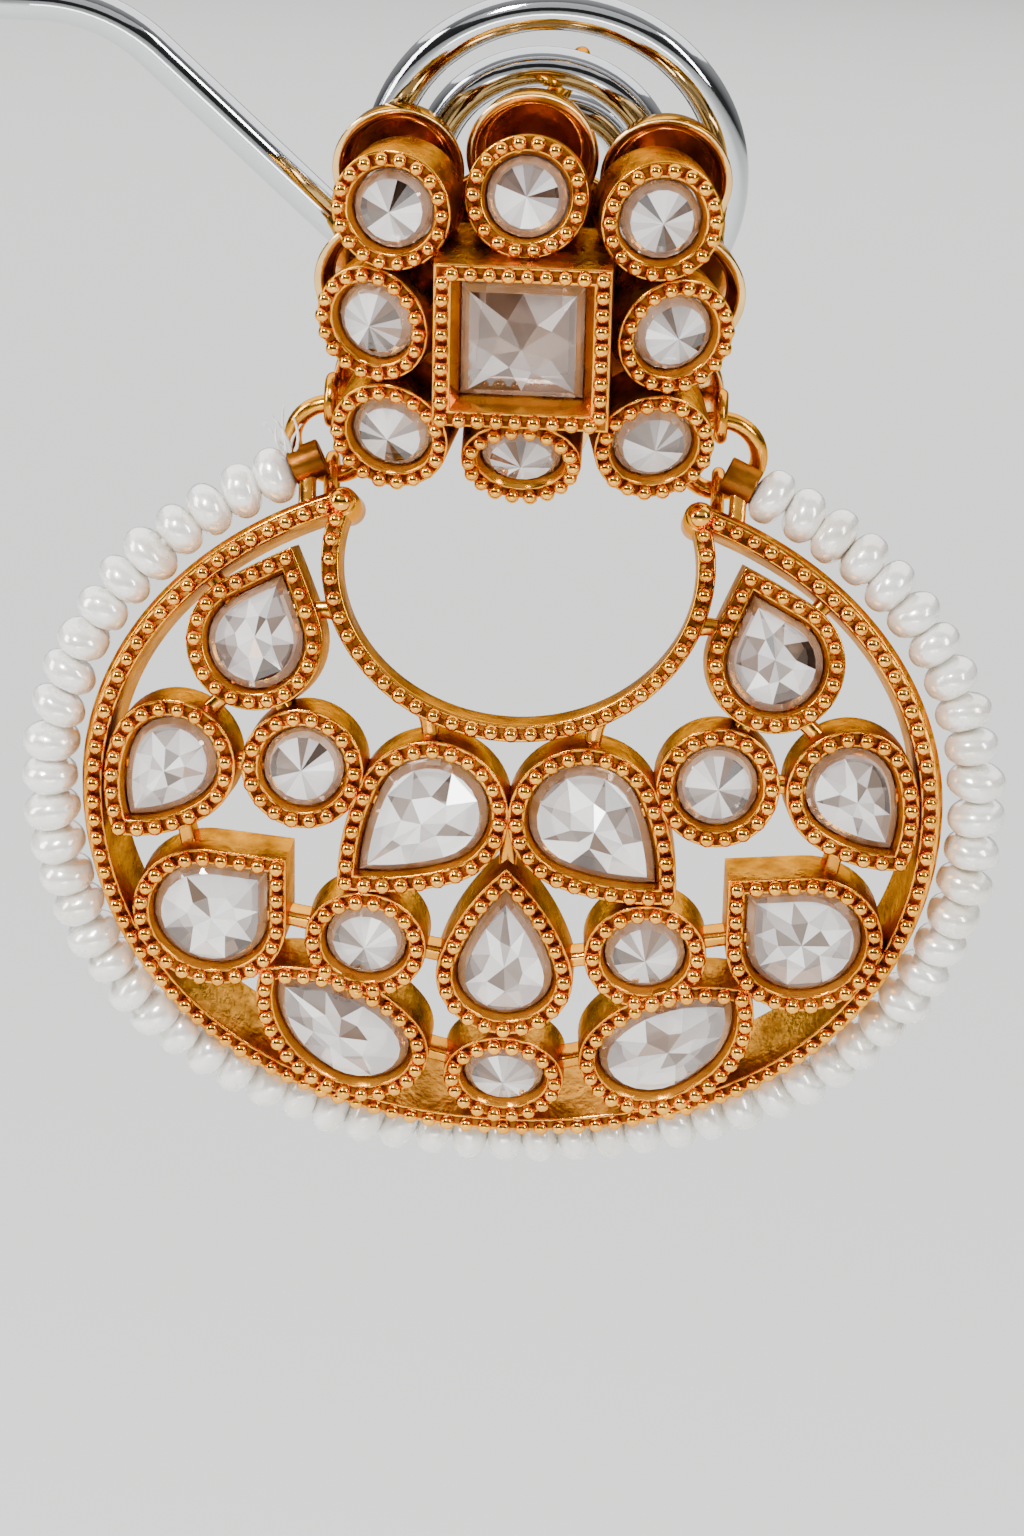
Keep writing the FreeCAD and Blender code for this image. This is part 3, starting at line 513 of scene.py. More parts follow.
def lathe(skin, place, profile, steps=56, closed=True, slot=0):
    """A turned form: profile is (radius, depth) from one end to the other."""
    rings = []
    for radius, depth in profile:
        rings.append([place @ Vector((x, y, depth)) for x, y in around(radius, steps)])
    skin.tube(rings, closed_run=closed, run_slot=lambda index: slot)


EYE = 1.05
EYE_WIRE = 0.35
RING = 2.0
RING_WIRE = 0.45
RING_PLAY = 0.05
EYE_FALL = 2 * RING - RING_WIRE - RING_PLAY + EYE - EYE_WIRE
HORN_PROFILE = [(0.5, 0.0), (0.72, 0.12), (0.8, 0.35), (0.8, 3.5), (0.72, 3.72), (0.5, 3.8)]
SIDEWAYS = Vector((1, 0, 0))
for side in (1, -1):
    turn = Matrix.Identity(4) if side > 0 else MIRROR
    eye = Vector((PIVOT.x * side, PIVOT.y, PIVOT.z - EYE_FALL))
    torus(crescent, eye, EYE, EYE_WIRE, SIDEWAYS)
    lathe(crescent, turn @ drop_seat(*HORN), HORN_PROFILE, 32, False)
print("eyes:", 2)

# %% [markdown]
# ## The string's line
# The pearls are strung along the outside of the rim, a fixed distance out and a little behind
# its front. The line is cut into equal steps of length, one for each pearl. Both ends of the
# thread go into eyelets beside the horns.

# %% Stations of the pearls
PEARL_OFF = 2.6
PEARL_LEVEL = 1.1
PEARL_COUNT = 61
STRING_END = 12.8
PEARL_HALF = 0.82
STRING_FINE = 1200


def string_point(turn):
    across, level, out = rim_line(turn)
    return drop_point(across + out.x * PEARL_OFF, level + out.y * PEARL_OFF, PEARL_LEVEL)


def even_steps(points, count, parts):
    """Places and directions after each of count equal parts of a line of points."""
    run = [0.0]
    for before, after in zip(points, points[1:]):
        run.append(run[-1] + (after - before).length)
    chosen = []
    index = 0
    for number in range(count):
        target = run[-1] * number / parts
        while index < len(points) - 2 and run[index + 1] < target:
            index += 1
        before, after = points[index], points[index + 1]
        share = (target - run[index]) / (run[index + 1] - run[index])
        chosen.append((before.lerp(after, share), (after - before).normalized()))
    return chosen, run[-1]


string_turn = math.acos(STRING_END / (RIM_ACROSS + PEARL_OFF))
string = walk(string_point, string_turn, -math.pi - string_turn, STRING_FINE)
stations, string_length = even_steps(string, PEARL_COUNT, PEARL_COUNT - 1)
print("string of pearls: %.1f mm" % string_length)


# %% Eyelets for the thread
EYELET_HALF = 0.85
EYELET_GAP = 0.1
EYELET_PROFILE = softened([
    (0.35, 0.0), (0.95, 0.0), (0.95, 2 * EYELET_HALF), (0.35, 2 * EYELET_HALF),
], 0.12)
EYELET_BAR = 0.9


def thread_end(side):
    """The middle of an eyelet, and the way the thread leaves the string there."""
    place, way = stations[0] if side > 0 else stations[-1]
    outwards = way * -1 if side > 0 else way
    return place + outwards * (PEARL_HALF + EYELET_GAP + EYELET_HALF), outwards


rim_across, rim_level, out = rim_line(string_turn)
for side in (1, -1):
    middle, way = thread_end(side)
    tube_place = seat(middle - way * EYELET_HALF, way * -1, Vector((0, 0, 1)))
    # the eyelet tubes take the groove finish, gold darkened as painted shade
    lathe(crescent, tube_place, EYELET_PROFILE, 40, slot=GROOVE_SHADE_FINISH)
    inner = drop_point(rim_across * side * 0.95, rim_level + 0.1, PEARL_LEVEL)
    bar(crescent, middle, inner, drop_normal(rim_across * side, rim_level), EYELET_BAR, EYELET_BAR)
crescent_gold = crescent.build("crescent_gold")

# %% [markdown]
# ## The stud
# The stud is built up from separate collets on short pillars over a scalloped tray. Eight
# round collets lean outwards round a square one, like petals. The tray's polished cups catch
# the light behind them. The same sweep makes every collet; the cups and pillars are turned.

# %% Stud collets
PETAL_LINE = 2.6
PETAL_DEEP = 3.0
PETALS = [
    # across, up, lean across, lean up
    (0.0, 7.10, 0.0, 22.0),
    (7.50, 0.0, 21.0, 0.0),
    (0.0, -7.25, 0.0, -26.0),
    (-7.50, 0.0, -21.0, 0.0),
    (6.60, 6.05, 11.0, 8.0),
    (6.60, -6.10, 11.0, -8.0),
    (-6.60, -6.10, -11.0, -8.0),
    (-6.60, 6.05, -11.0, 8.0),
]


def petal_seat(across, up, lean_across, lean_up):
    facing = Vector((math.tan(math.radians(lean_across)), -1, math.tan(math.radians(lean_up))))
    return seat(STUD_MIDDLE + Vector((across, 2.2, up)), facing.normalized())


petal_profile = softened([
    (0.0, 0.24),
    (0.3, 0.1),
    (0.40, 0.14),
    (0.40, PETAL_DEEP),
    (-PETAL_LINE + 0.02, PETAL_DEEP),
    (-PETAL_LINE + 0.02, 2.3),
    (STONE_EDGE, 2.3),
    (STONE_EDGE, 0.5),
    (FLARE_EDGE, 0.12),
    (-0.28, 0.1),
], 0.1)
SQUARE_LINE = 3.9
SQUARE_DEEP = 5.2
square_profile = softened([
    (0.0, 0.24),
    (0.32, 0.08),
    (0.43, 0.12),
    (0.43, SQUARE_DEEP),
    (-SQUARE_LINE + 0.02, SQUARE_DEEP),
    (-SQUARE_LINE + 0.02, 4.4),
    (-0.84, 4.4),
    (-0.84, 1.1),
    (-0.42, 0.1),
    (-0.3, 0.08),
], 0.1)

stud = Skin()
petal_places = [petal_seat(*entry) for entry in PETALS]
for place in petal_places:
    sweep_wall(stud, circle(PETAL_LINE), place, petal_profile)
square_place = seat(STUD_MIDDLE, Vector((0, -1, 0)))
sweep_wall(stud, square(SQUARE_LINE), square_place, square_profile)
print("stud collets:", len(petal_places) + 1)

# %% Tray, pillars and loops
TRAY_FRONT = 8.3
TRAY_BACK = 9.0
PILLAR_END = 8.8
CUP_RIM = 7.2
SCALLOP = 3.3
TRAY_DISC = 6.2
AXIS_GAP = 0.02
PILLAR = 0.9
PILLAR_START = 2.7
SQUARE_PILLAR = 2.6
SQUARE_PILLAR_START = 4.7
LOOP_RISE = 0.2
LOOP_STEM = 1.2


def behind(across, back, up):
    """A seat that faces forwards at a point of the stud."""
    return seat(STUD_MIDDLE + Vector((across, back, up)), Vector((0, -1, 0)))


def disc(radius):
    return softened([
        (AXIS_GAP, TRAY_FRONT), (radius, TRAY_FRONT), (radius, TRAY_BACK), (AXIS_GAP, TRAY_BACK),
    ], 0.12)


cup = softened([
    (AXIS_GAP, TRAY_FRONT),
    (2.42, TRAY_FRONT),
    (2.8, CUP_RIM),
    (SCALLOP, CUP_RIM),
    (2.9, TRAY_BACK),
    (AXIS_GAP, TRAY_BACK),
], 0.16)
# the cups and the tray disc take the tray finish, a paler gold that paints a reflection
for index, (across, up, lean_across, lean_up) in enumerate(PETALS):
    beside_loop = up < 0 and across != 0
    scallop = disc(SCALLOP) if beside_loop else cup
    lathe(stud, behind(across, 0, up), scallop, 72, slot=TRAY_REFLECTION_FINISH)
    start = petal_places[index] @ Vector((0, 0, PILLAR_START))
    depth = start.y - STUD_MIDDLE.y
    pillar = seat(start, Vector((0, -1, 0)))
    lathe(stud, pillar, [(PILLAR, 0.0), (PILLAR, PILLAR_END - depth)], 32, False)
lathe(stud, behind(0, 0, 0), disc(TRAY_DISC), 72, slot=TRAY_REFLECTION_FINISH)
square_pillar = [(SQUARE_PILLAR, SQUARE_PILLAR_START), (SQUARE_PILLAR, PILLAR_END)]
lathe(stud, behind(0, 0, 0), square_pillar, 48, False)
for side in (1, -1):
    centre = Vector((PIVOT.x * side, PIVOT.y, PIVOT.z + LOOP_RISE))
    torus(stud, centre, EYE, EYE_WIRE, SIDEWAYS)
    stem = seat(centre + Vector((0, 0.95, 0)), Vector((0, -1, 0)))
    lathe(stud, stem, [(EYE_WIRE, 0.0), (EYE_WIRE, LOOP_STEM)], 20, False)
print("tray scallops:", len(PETALS))

# %% Ear post
POST_LEAN = math.radians(12)
FOOT_PROFILE = [(1.1, 0.0), (1.2, 0.15), (1.2, 0.45), (0.95, 0.6), (0.4, 0.66)]
POST_PROFILE = [(0.45, 0.0), (0.45, 9.1), (0.38, 9.34), (0.2, 9.48)]
post_way = Vector((math.sin(POST_LEAN), math.cos(POST_LEAN), 0))
lathe(stud, seat(Vector((0, -0.1, 0)), Vector((0, -1, 0))), FOOT_PROFILE, 40, False)
lathe(stud, seat(Vector((0, 0, 0)), post_way * -1), POST_PROFILE, 32, False)
stud_gold = stud.build("stud_gold")

# %% [markdown]
# ## Milled beads
# Every collet and rim carries a row of tiny balls, rolled in with a knurling wheel on real
# jewellery. There are hundreds of them, so they are instanced: the lines go in as edges, the
# tree cuts each line into even steps and sets a small ball on each step. The size and the
# spacing are named inputs, and a seeded random value makes the balls slightly uneven.

# %% Tree helpers
VECTORS = "ShaderNodeVectorMath"


def feed(tree, socket, value):
    """Links another node's socket to this one, or sets a plain value on it."""
    if isinstance(value, bpy.types.NodeSocket):
        tree.links.new(value, socket)
    else:
        socket.default_value = value


def node(tree, kind, settings=None, **inputs):
    """A new node with its options set and its named sockets fed; an underscore is a space."""
    made = tree.nodes.new(kind)
    for name, value in (settings or {}).items():
        setattr(made, name, value)
    for name, value in inputs.items():
        feed(tree, made.inputs[name.replace("_", " ")], value)
    return made


def reckon(tree, operation, *values, kind="ShaderNodeMath", gives="Value"):
    """The result of a maths node whose sockets are fed in order; None leaves one alone."""
    made = node(tree, kind, {"operation": operation})
    for socket, value in zip(made.inputs, values):
        if value is not None:
            feed(tree, socket, value)
    return made.outputs[gives]


def chance(tree, kind, low, high, seed):
    """A seeded random number or vector between two others."""
    made = node(tree, "FunctionNodeRandomValue", {"data_type": kind}, Seed=seed)
    first = 0 if kind == "FLOAT_VECTOR" else 2
    feed(tree, made.inputs[first], low)
    feed(tree, made.inputs[first + 1], high)
    return made.outputs[first // 2]


def new_tree(name, sockets):
    """An empty geometry tree, the sockets of its named inputs and its last node."""
    tree = bpy.data.node_groups.new(name, "GeometryNodeTree")
    tree.interface.new_socket("Geometry", in_out="INPUT", socket_type="NodeSocketGeometry")
    for label, kind, value in sockets:
        socket = tree.interface.new_socket(label, in_out="INPUT", socket_type=kind)
        if value is not None:
            socket.default_value = value
    tree.interface.new_socket("Geometry", in_out="OUTPUT", socket_type="NodeSocketGeometry")
    return tree, tree.nodes.new("NodeGroupInput").outputs, tree.nodes.new("NodeGroupOutput")


# %% Bead tree
def bead_tree():
    tree, asked, leave = new_tree("Milled beads", [
        ("Pitch", "NodeSocketFloat", 0.001),
        ("Radius", "NodeSocketFloat", 0.00034),
        ("Unevenness", "NodeSocketFloat", 0.06),
        ("Seed", "NodeSocketInt", 7),
        ("Material", "NodeSocketMaterial", None),
    ])
    curve = node(tree, "GeometryNodeMeshToCurve", Mesh=asked["Geometry"])
    steps = node(
        tree, "GeometryNodeResampleCurve", {"mode": "LENGTH"},
        Curve=curve.outputs["Curve"], Length=asked["Pitch"],
    )
    ball = node(tree, "GeometryNodeMeshIcoSphere", Subdivisions=2, Radius=asked["Radius"])
    low = reckon(tree, "SUBTRACT", 1.0, asked["Unevenness"])
    high = reckon(tree, "ADD", 1.0, asked["Unevenness"])
    place = node(
        tree, "GeometryNodeInstanceOnPoints",
        Points=steps.outputs["Curve"], Instance=ball.outputs["Mesh"],
        Scale=chance(tree, "FLOAT", low, high, asked["Seed"]),
    )
    shaded = node(tree, "GeometryNodeSetShadeSmooth", Geometry=place.outputs["Instances"])
    real = node(tree, "GeometryNodeRealizeInstances", Geometry=shaded.outputs["Geometry"])
    paint = node(
        tree, "GeometryNodeSetMaterial",
        Geometry=real.outputs["Geometry"], Material=asked["Material"],
    )
    feed(tree, leave.inputs["Geometry"], paint.outputs["Geometry"])
    return tree


def line_object(name, lines):
    """Closed or open lines of points as one mesh of edges."""
    points = []
    edges = []
    for line, closed in lines:
        start = len(points)
        points += [hung(point) for point in line]
        count = len(line)
        for step in range(count if closed else count - 1):
            edges.append((start + step, start + (step + 1) % count))
    mesh = bpy.data.meshes.new(name)
    mesh.from_pydata(points, edges, [])
    return add_piece(name, mesh)


def grown(piece, tree, values):
    """Runs a tree on a piece and keeps the result as a plain mesh."""
    modifier = piece.modifiers.new("Grow", "NODES")
    modifier.node_group = tree
    keys = {item.name: item.identifier for item in tree.interface.items_tree if item.in_out == "INPUT"}
    for label, value in values.items():
        modifier[keys[label]] = value
    evaluated = piece.evaluated_get(bpy.context.evaluated_depsgraph_get())
    mesh = bpy.data.meshes.new_from_object(evaluated)
    mesh.name = piece.name
    piece.modifiers.remove(modifier)
    piece.data = mesh
    print(piece.name, "faces:", len(mesh.polygons))
    return piece


# %% [markdown]
# ## Gold
# The plating is a warm orange gold with five finishes: the polished casting, the brightest gold
# # on the beads, grooves under them darkened as painted shade, the tray made paler as a painted
# # reflection, and rough walls darkened as painted shade.
# In each one two noises at different scales vary the colour and the roughness, and a very fine
# one breaks up the reflections as cast metal does. The patterns read Object coordinates, so
# they stay on the metal.

# %% Material helpers
def new_material(name, **values):
    """A material whose shader has the given constants; an underscore is a space."""
    material = bpy.data.materials.new(name)
    material.use_nodes = True
    tree = material.node_tree
    shader = tree.nodes["Principled BSDF"].inputs
    for label, value in values.items():
        shader[label.replace("_", " ")].default_value = value
    return material, tree, shader


def object_noise(tree, scale, detail=3.0, rough=0.55):
    where = tree.nodes.get("Where") or tree.nodes.new("ShaderNodeTexCoord")
    where.name = "Where"
    return node(
        tree, "ShaderNodeTexNoise",
        Vector=where.outputs["Object"], Scale=scale, Detail=detail, Roughness=rough,
    ).outputs["Fac"]


def ramp(tree, source, stops):
    """Colours over a pattern: stops are (position, colour)."""
    made = node(tree, "ShaderNodeValToRGB", Fac=source)
    while len(made.color_ramp.elements) < len(stops):
        made.color_ramp.elements.new(0.5)
    for element, (position, colour) in zip(made.color_ramp.elements, stops):
        element.position = position
        element.color = (*colour, 1.0)
    return made.outputs["Color"]


def span(tree, source, low, high):
    """Maps a noise from its usual range to a low and a high value."""
    return node(
        tree, "ShaderNodeMapRange",
        Value=source, From_Min=0.3, From_Max=0.7, To_Min=low, To_Max=high,
    ).outputs["Result"]


def bump(tree, shader, source, distance):
    made = node(tree, "ShaderNodeBump", Height=source, Distance=distance)
    feed(tree, shader["Normal"], made.outputs["Normal"])


def gold(name, light, dark, low, high, grain, patches=260.0):
    """Gold between two colours, and between a low and a high roughness; grain is a bump's depth."""
    material, tree, shader = new_material(name, Metallic=1.0, Specular_Tint=(0.9, 0.52, 0.18, 1.0))
    tone = ramp(tree, object_noise(tree, patches), [(0.32, dark), (0.62, light)])
    feed(tree, shader["Base Color"], tone)
    feed(tree, shader["Roughness"], span(tree, object_noise(tree, 900.0), low, high))
    bump(tree, shader, object_noise(tree, 2600.0, 4.0), grain)
    return material


# %% Gold finishes
cast_gold = gold("cast_gold", (0.9, 0.4, 0.04), (0.58, 0.22, 0.015), 0.12, 0.25, 0.00002)
bead_gold = gold("bead_gold", (1.0, 0.47, 0.06), (0.8, 0.32, 0.03), 0.07, 0.13, 0.000006)
# painted shade: dark gold for the grooves between the beads and for the eyelets
groove_shade_gold = gold("groove_shade_gold", (0.3, 0.1, 0.012), (0.14, 0.045, 0.006), 0.28, 0.48, 0.00003)
# painted reflection: the tray's gold is paler, standing in for the light its cups mirror
tray_reflection_gold = gold("tray_reflection_gold", (0.88, 0.57, 0.22), (0.66, 0.38, 0.12), 0.08, 0.16, 0.00001)
# rough cast walls; their darker colour is painted shade on the deep sides
rough_wall_shade_gold = gold("rough_wall_shade_gold", (0.66, 0.29, 0.035), (0.22, 0.08, 0.01), 0.2, 0.4, 0.00008, 620.0)
print("gold finishes:", cast_gold.name, bead_gold.name, groove_shade_gold.name, tray_reflection_gold.name, rough_wall_shade_gold.name)

# %% Beads of the crescent
BEAD_PITCH = 0.98
BEAD_RADIUS = 0.41
BEAD_LEVEL = -0.08


def collet_line(outline, place):
    return [place @ Vector((x, y, BEAD_LEVEL)) for x, y in outline(0.0)]


def rim_points(line, start, end, steps=240):
    return [
        drop_point(across, level, BEAD_LEVEL)
        for across, level, out in walk(line, start, end, steps)
    ]


crescent_lines = [(collet_line(outline, place), True) for outline, place in drop_collets]
crescent_lines.append((rim_points(rim_line, rim_start, -math.pi - rim_start), False))
crescent_lines.append((rim_points(mouth_line, mouth_start, -math.pi - mouth_start), False))
milled = bead_tree()
crescent_beads = grown(line_object("crescent_beads", crescent_lines), milled, {
    "Pitch": BEAD_PITCH * MM,
    "Radius": BEAD_RADIUS * MM,
    "Material": bead_gold,
})

# %% Beads of the stud
STUD_BEADS = {"Pitch": 0.92 * MM, "Radius": 0.385 * MM, "Seed": 11, "Material": bead_gold}
stud_lines = [(collet_line(circle(PETAL_LINE), place), True) for place in petal_places]
stud_lines.append((collet_line(square(SQUARE_LINE), square_place), True))
stud_beads = grown(line_object("stud_beads", stud_lines), milled, STUD_BEADS)


# %% Balls on the horns' tips
TIP_BALL = 0.66


def ball(skin, centre, radius, steps=24):
    rings = []
    for step in range(1, steps // 2):
        lift = math.pi * step / (steps // 2) - math.pi / 2
        level = centre + Vector((0, 0, radius * math.sin(lift)))
        rings.append([level + Vector((x, y, 0)) for x, y in around(radius * math.cos(lift), steps)])
    skin.tube(rings)


horn_balls = Skin()
for side in (1, -1):
    ball(horn_balls, drop_point(HORN[0] * side, HORN[1], -0.05), TIP_BALL)
horn_tips = horn_balls.build("horn_tips")

# %% [markdown]
# ## Pearls
# The pearls are small button pearls, drilled through their flat sides, so each one is a
# squashed ball that faces along the thread. No two are alike. The tree sets one on every
# station, turns it to the thread, changes its size a little and then pushes its surface in
# and out with a soft noise, which gives the dents of real seed pearls.

# %% Pearl tree
def pearl_tree():
    tree, asked, leave = new_tree("Button pearls", [
        ("Radius", "NodeSocketFloat", 0.00148),
        ("Flatness", "NodeSocketFloat", 0.66),
        ("Fullness", "NodeSocketFloat", 2.3),
        ("Unevenness", "NodeSocketFloat", 0.00024),
        ("Seed", "NodeSocketInt", 3),
        ("Material", "NodeSocketMaterial", None),
    ])
    curve = node(tree, "GeometryNodeMeshToCurve", Mesh=asked["Geometry"])
    points = node(
        tree, "GeometryNodeCurveToPoints", {"mode": "EVALUATED"}, Curve=curve.outputs["Curve"],
    )

    # a ball whose section is fuller than a circle: each point moves out until
    # height ** fullness + reach ** fullness is 1
    ball = node(tree, "GeometryNodeMeshUVSphere", Segments=28, Rings=18, Radius=1.0)
    where = node(tree, "GeometryNodeInputPosition").outputs["Position"]
    upright = node(tree, "ShaderNodeSeparateXYZ", Vector=where).outputs["Z"]
    tall = reckon(tree, "POWER", reckon(tree, "ABSOLUTE", upright), asked["Fullness"])
    ground = reckon(tree, "MULTIPLY", where, (1.0, 1.0, 0.0), kind=VECTORS, gives="Vector")
    reach = reckon(tree, "LENGTH", ground, kind=VECTORS)
    total = reckon(tree, "ADD", tall, reckon(tree, "POWER", reach, asked["Fullness"]))
    swell = reckon(tree, "POWER", total, reckon(tree, "DIVIDE", -1.0, asked["Fullness"]))
    sized = reckon(tree, "MULTIPLY", swell, asked["Radius"])
    full = reckon(tree, "SCALE", where, None, None, sized, kind=VECTORS, gives="Vector")
    form = node(tree, "GeometryNodeSetPosition", Geometry=ball.outputs["Mesh"], Position=full)
    squash = node(tree, "ShaderNodeCombineXYZ", X=1.0, Y=1.0, Z=asked["Flatness"])
    flat = node(
        tree, "GeometryNodeTransform",
        Geometry=form.outputs["Geometry"], Scale=squash.outputs["Vector"],
    )

    # one on every station, a little tilted, spun about the thread and changed in size
    size = chance(tree, "FLOAT_VECTOR", (0.93, 0.93, 0.95), (1.05, 1.05, 1.02), asked["Seed"])
    wobble = chance(tree, "FLOAT_VECTOR", (-0.2, -0.2, -3.1), (0.2, 0.2, 3.1), asked["Seed"])
    euler = node(tree, "FunctionNodeEulerToRotation", Euler=wobble)
    tilt = node(
        tree, "FunctionNodeRotateRotation", {"rotation_space": "LOCAL"},
        Rotation=points.outputs["Rotation"], Rotate_By=euler.outputs["Rotation"],
    )
    place = node(
        tree, "GeometryNodeInstanceOnPoints",
        Points=points.outputs["Points"], Instance=flat.outputs["Geometry"],
        Rotation=tilt.outputs["Rotation"], Scale=size,
    )
    real = node(tree, "GeometryNodeRealizeInstances", Geometry=place.outputs["Instances"])

    # soft dents
    noise = node(tree, "ShaderNodeTexNoise", Scale=620.0, Detail=1.5).outputs["Fac"]
    depth = reckon(tree, "MULTIPLY", reckon(tree, "SUBTRACT", noise, 0.5), asked["Unevenness"])
    normal = node(tree, "GeometryNodeInputNormal").outputs["Normal"]
    push = reckon(tree, "SCALE", normal, None, None, depth, kind=VECTORS, gives="Vector")
    dented = node(tree, "GeometryNodeSetPosition", Geometry=real.outputs["Geometry"], Offset=push)
    shaded = node(tree, "GeometryNodeSetShadeSmooth", Geometry=dented.outputs["Geometry"])
    paint = node(
        tree, "GeometryNodeSetMaterial",
        Geometry=shaded.outputs["Geometry"], Material=asked["Material"],
    )
    feed(tree, leave.inputs["Geometry"], paint.outputs["Geometry"])
    return tree


# %% [markdown]
# ## Pearl lustre
# Nacre is white with a breath of cream and pink, clear and glossy on top and soft underneath.
# A little light is let into the body, and a clear coat gives the sharp window highlights. A
# small metallic share makes the broad, silky shine below them, which plain white lacks.

# %% Pearl material
nacre, tree, shader = new_material(
    "nacre", Metallic=0.3, IOR=1.7, Coat_Weight=1.0, Coat_Roughness=0.05, Coat_IOR=1.8,
    Subsurface_Weight=0.35, Subsurface_Radius=(1.0, 0.85, 0.75), Subsurface_Scale=0.0009,
)
feed(tree, shader["Base Color"], ramp(tree, object_noise(tree, 330.0), [
    (0.3, (0.86, 0.79, 0.69)), (0.5, (0.96, 0.93, 0.87)), (0.7, (1.0, 0.98, 0.94)),
]))
feed(tree, shader["Roughness"], span(tree, object_noise(tree, 1200.0), 0.2, 0.3))
bump(tree, shader, object_noise(tree, 1500.0, 2.0), 0.00003)

pearls = grown(line_object("pearls", [([place for place, way in stations], False)]), pearl_tree(), {
    "Material": nacre,
})

# %% [markdown]
# ## Thread
# The pearls are on a white cotton thread. Its run is a solid of the frame and gets a twisted
# look from a fine wave. Between the left eyelet and the first pearl its end is frayed: a few
# loose fibres fan out, each a thin tube along its own short curve.

# %% Thread material and frayed end
cotton, tree, shader = new_material("cotton", Roughness=0.85, Sheen_Weight=0.4)
where = tree.nodes.new("ShaderNodeTexCoord").outputs["Object"]
twist = node(tree, "ShaderNodeTexWave", Vector=where, Scale=900.0, Distortion=1.5).outputs["Fac"]
strand = ramp(tree, twist, [(0.2, (0.72, 0.7, 0.66)), (0.7, (0.93, 0.92, 0.89))])
feed(tree, shader["Base Color"], strand)
bump(tree, shader, twist, 0.00004)

FIBRES = [
    # across, back, up at the fibre's free end, and its sideways bow
    (-0.9, -0.3, 2.6, 0.25),
    (-0.4, 0.2, 2.9, -0.2),
    (0.15, -0.2, 2.5, 0.3),
    (-1.4, 0.1, 2.0, 0.15),
    (0.5, 0.3, 1.9, -0.25),
    (-0.7, -0.5, 2.0, -0.3),
]
FIBRE_HALF = 0.12
FIBRE_STEPS = 6
tail_middle, tail_way = thread_end(-1)
start = tail_middle - tail_way * 0.9 + Vector((0, 0, 0.5))
tail = Skin()
for across, back, up, bow in FIBRES:
    end = start + Vector((across, back, up))
    rings = []
    for step in range(FIBRE_STEPS + 1):
        share = step / FIBRE_STEPS
        middle = start.lerp(end, share) + Vector((bow, 0, 0)) * math.sin(math.pi * share)
        thin = FIBRE_HALF * (1 - 0.55 * share)
        rings.append([middle + Vector((x, y, 0)) for x, y in around(thin, 6)])
    tail.tube(rings)
thread_tail = tail.build("thread_tail", 80.0)
thread_tail.data.materials.append(cotton)

# %% [markdown]
# ## Cut stones
# The stones are set point forwards, so from the front a round one is a fan of narrow facets
# # round its point. The pears and the square have two rows of facets, which meet in a star. Every
# # stone's sides face the collet's wall; the warm ring that its gold would mirror round the stone
# # is a painted reflection, a warm tint in the side facets and a little in the front ones. Each
# # facet really shows another bit of the room; here that is a painted reflection too: a light or
# # dark tone for each facet is stored with the mesh, so neighbours differ in the same way from
# # every side. The meshes are cut from the collets' own outlines, so they sit exactly in their
# # ledges.

# %% Cutting a stone
FACETS = 18
STONE_LEVEL = 0.6
STONE_RISE = 0.9
STONE_THICK = 0.25
STONE_BACK = 0.75
FAN_INSET = 0.42
FAN_DEPTH = 0.38
TIP_DEPTH = 0.06
STONE_GAP = 0.02
STAR_DEPTH = 0.05
STAR_FINE = 3
TABLE_SHARE = 0.62
MIRROR_SHARE = 0.16
FACE_ROWS = 3


def outline_steps(points, count):
    """Evenly spaced points of a closed outline, from its first point on."""
    loop = [Vector(point) for point in points]
    places, length = even_steps(loop + loop[:1], count, count)
    return [point for point, direction in places]


def painted_facet_tones(dice, count):
    """Painted reflections for one row of facets: a bright side, a dark side and some chance."""
    main = dice.uniform(0, 2 * math.pi)
    second = dice.uniform(0, 2 * math.pi)
    painted_tones = []
    for number in range(count):
        turn = 2 * math.pi * number / count
        tone = 0.54 + 0.22 * math.cos(turn - main) + 0.28 * math.cos(3 * turn + second)
        painted_tones.append(min(1.0, max(0.0, tone + dice.uniform(-0.38, 0.38))))
    return painted_tones


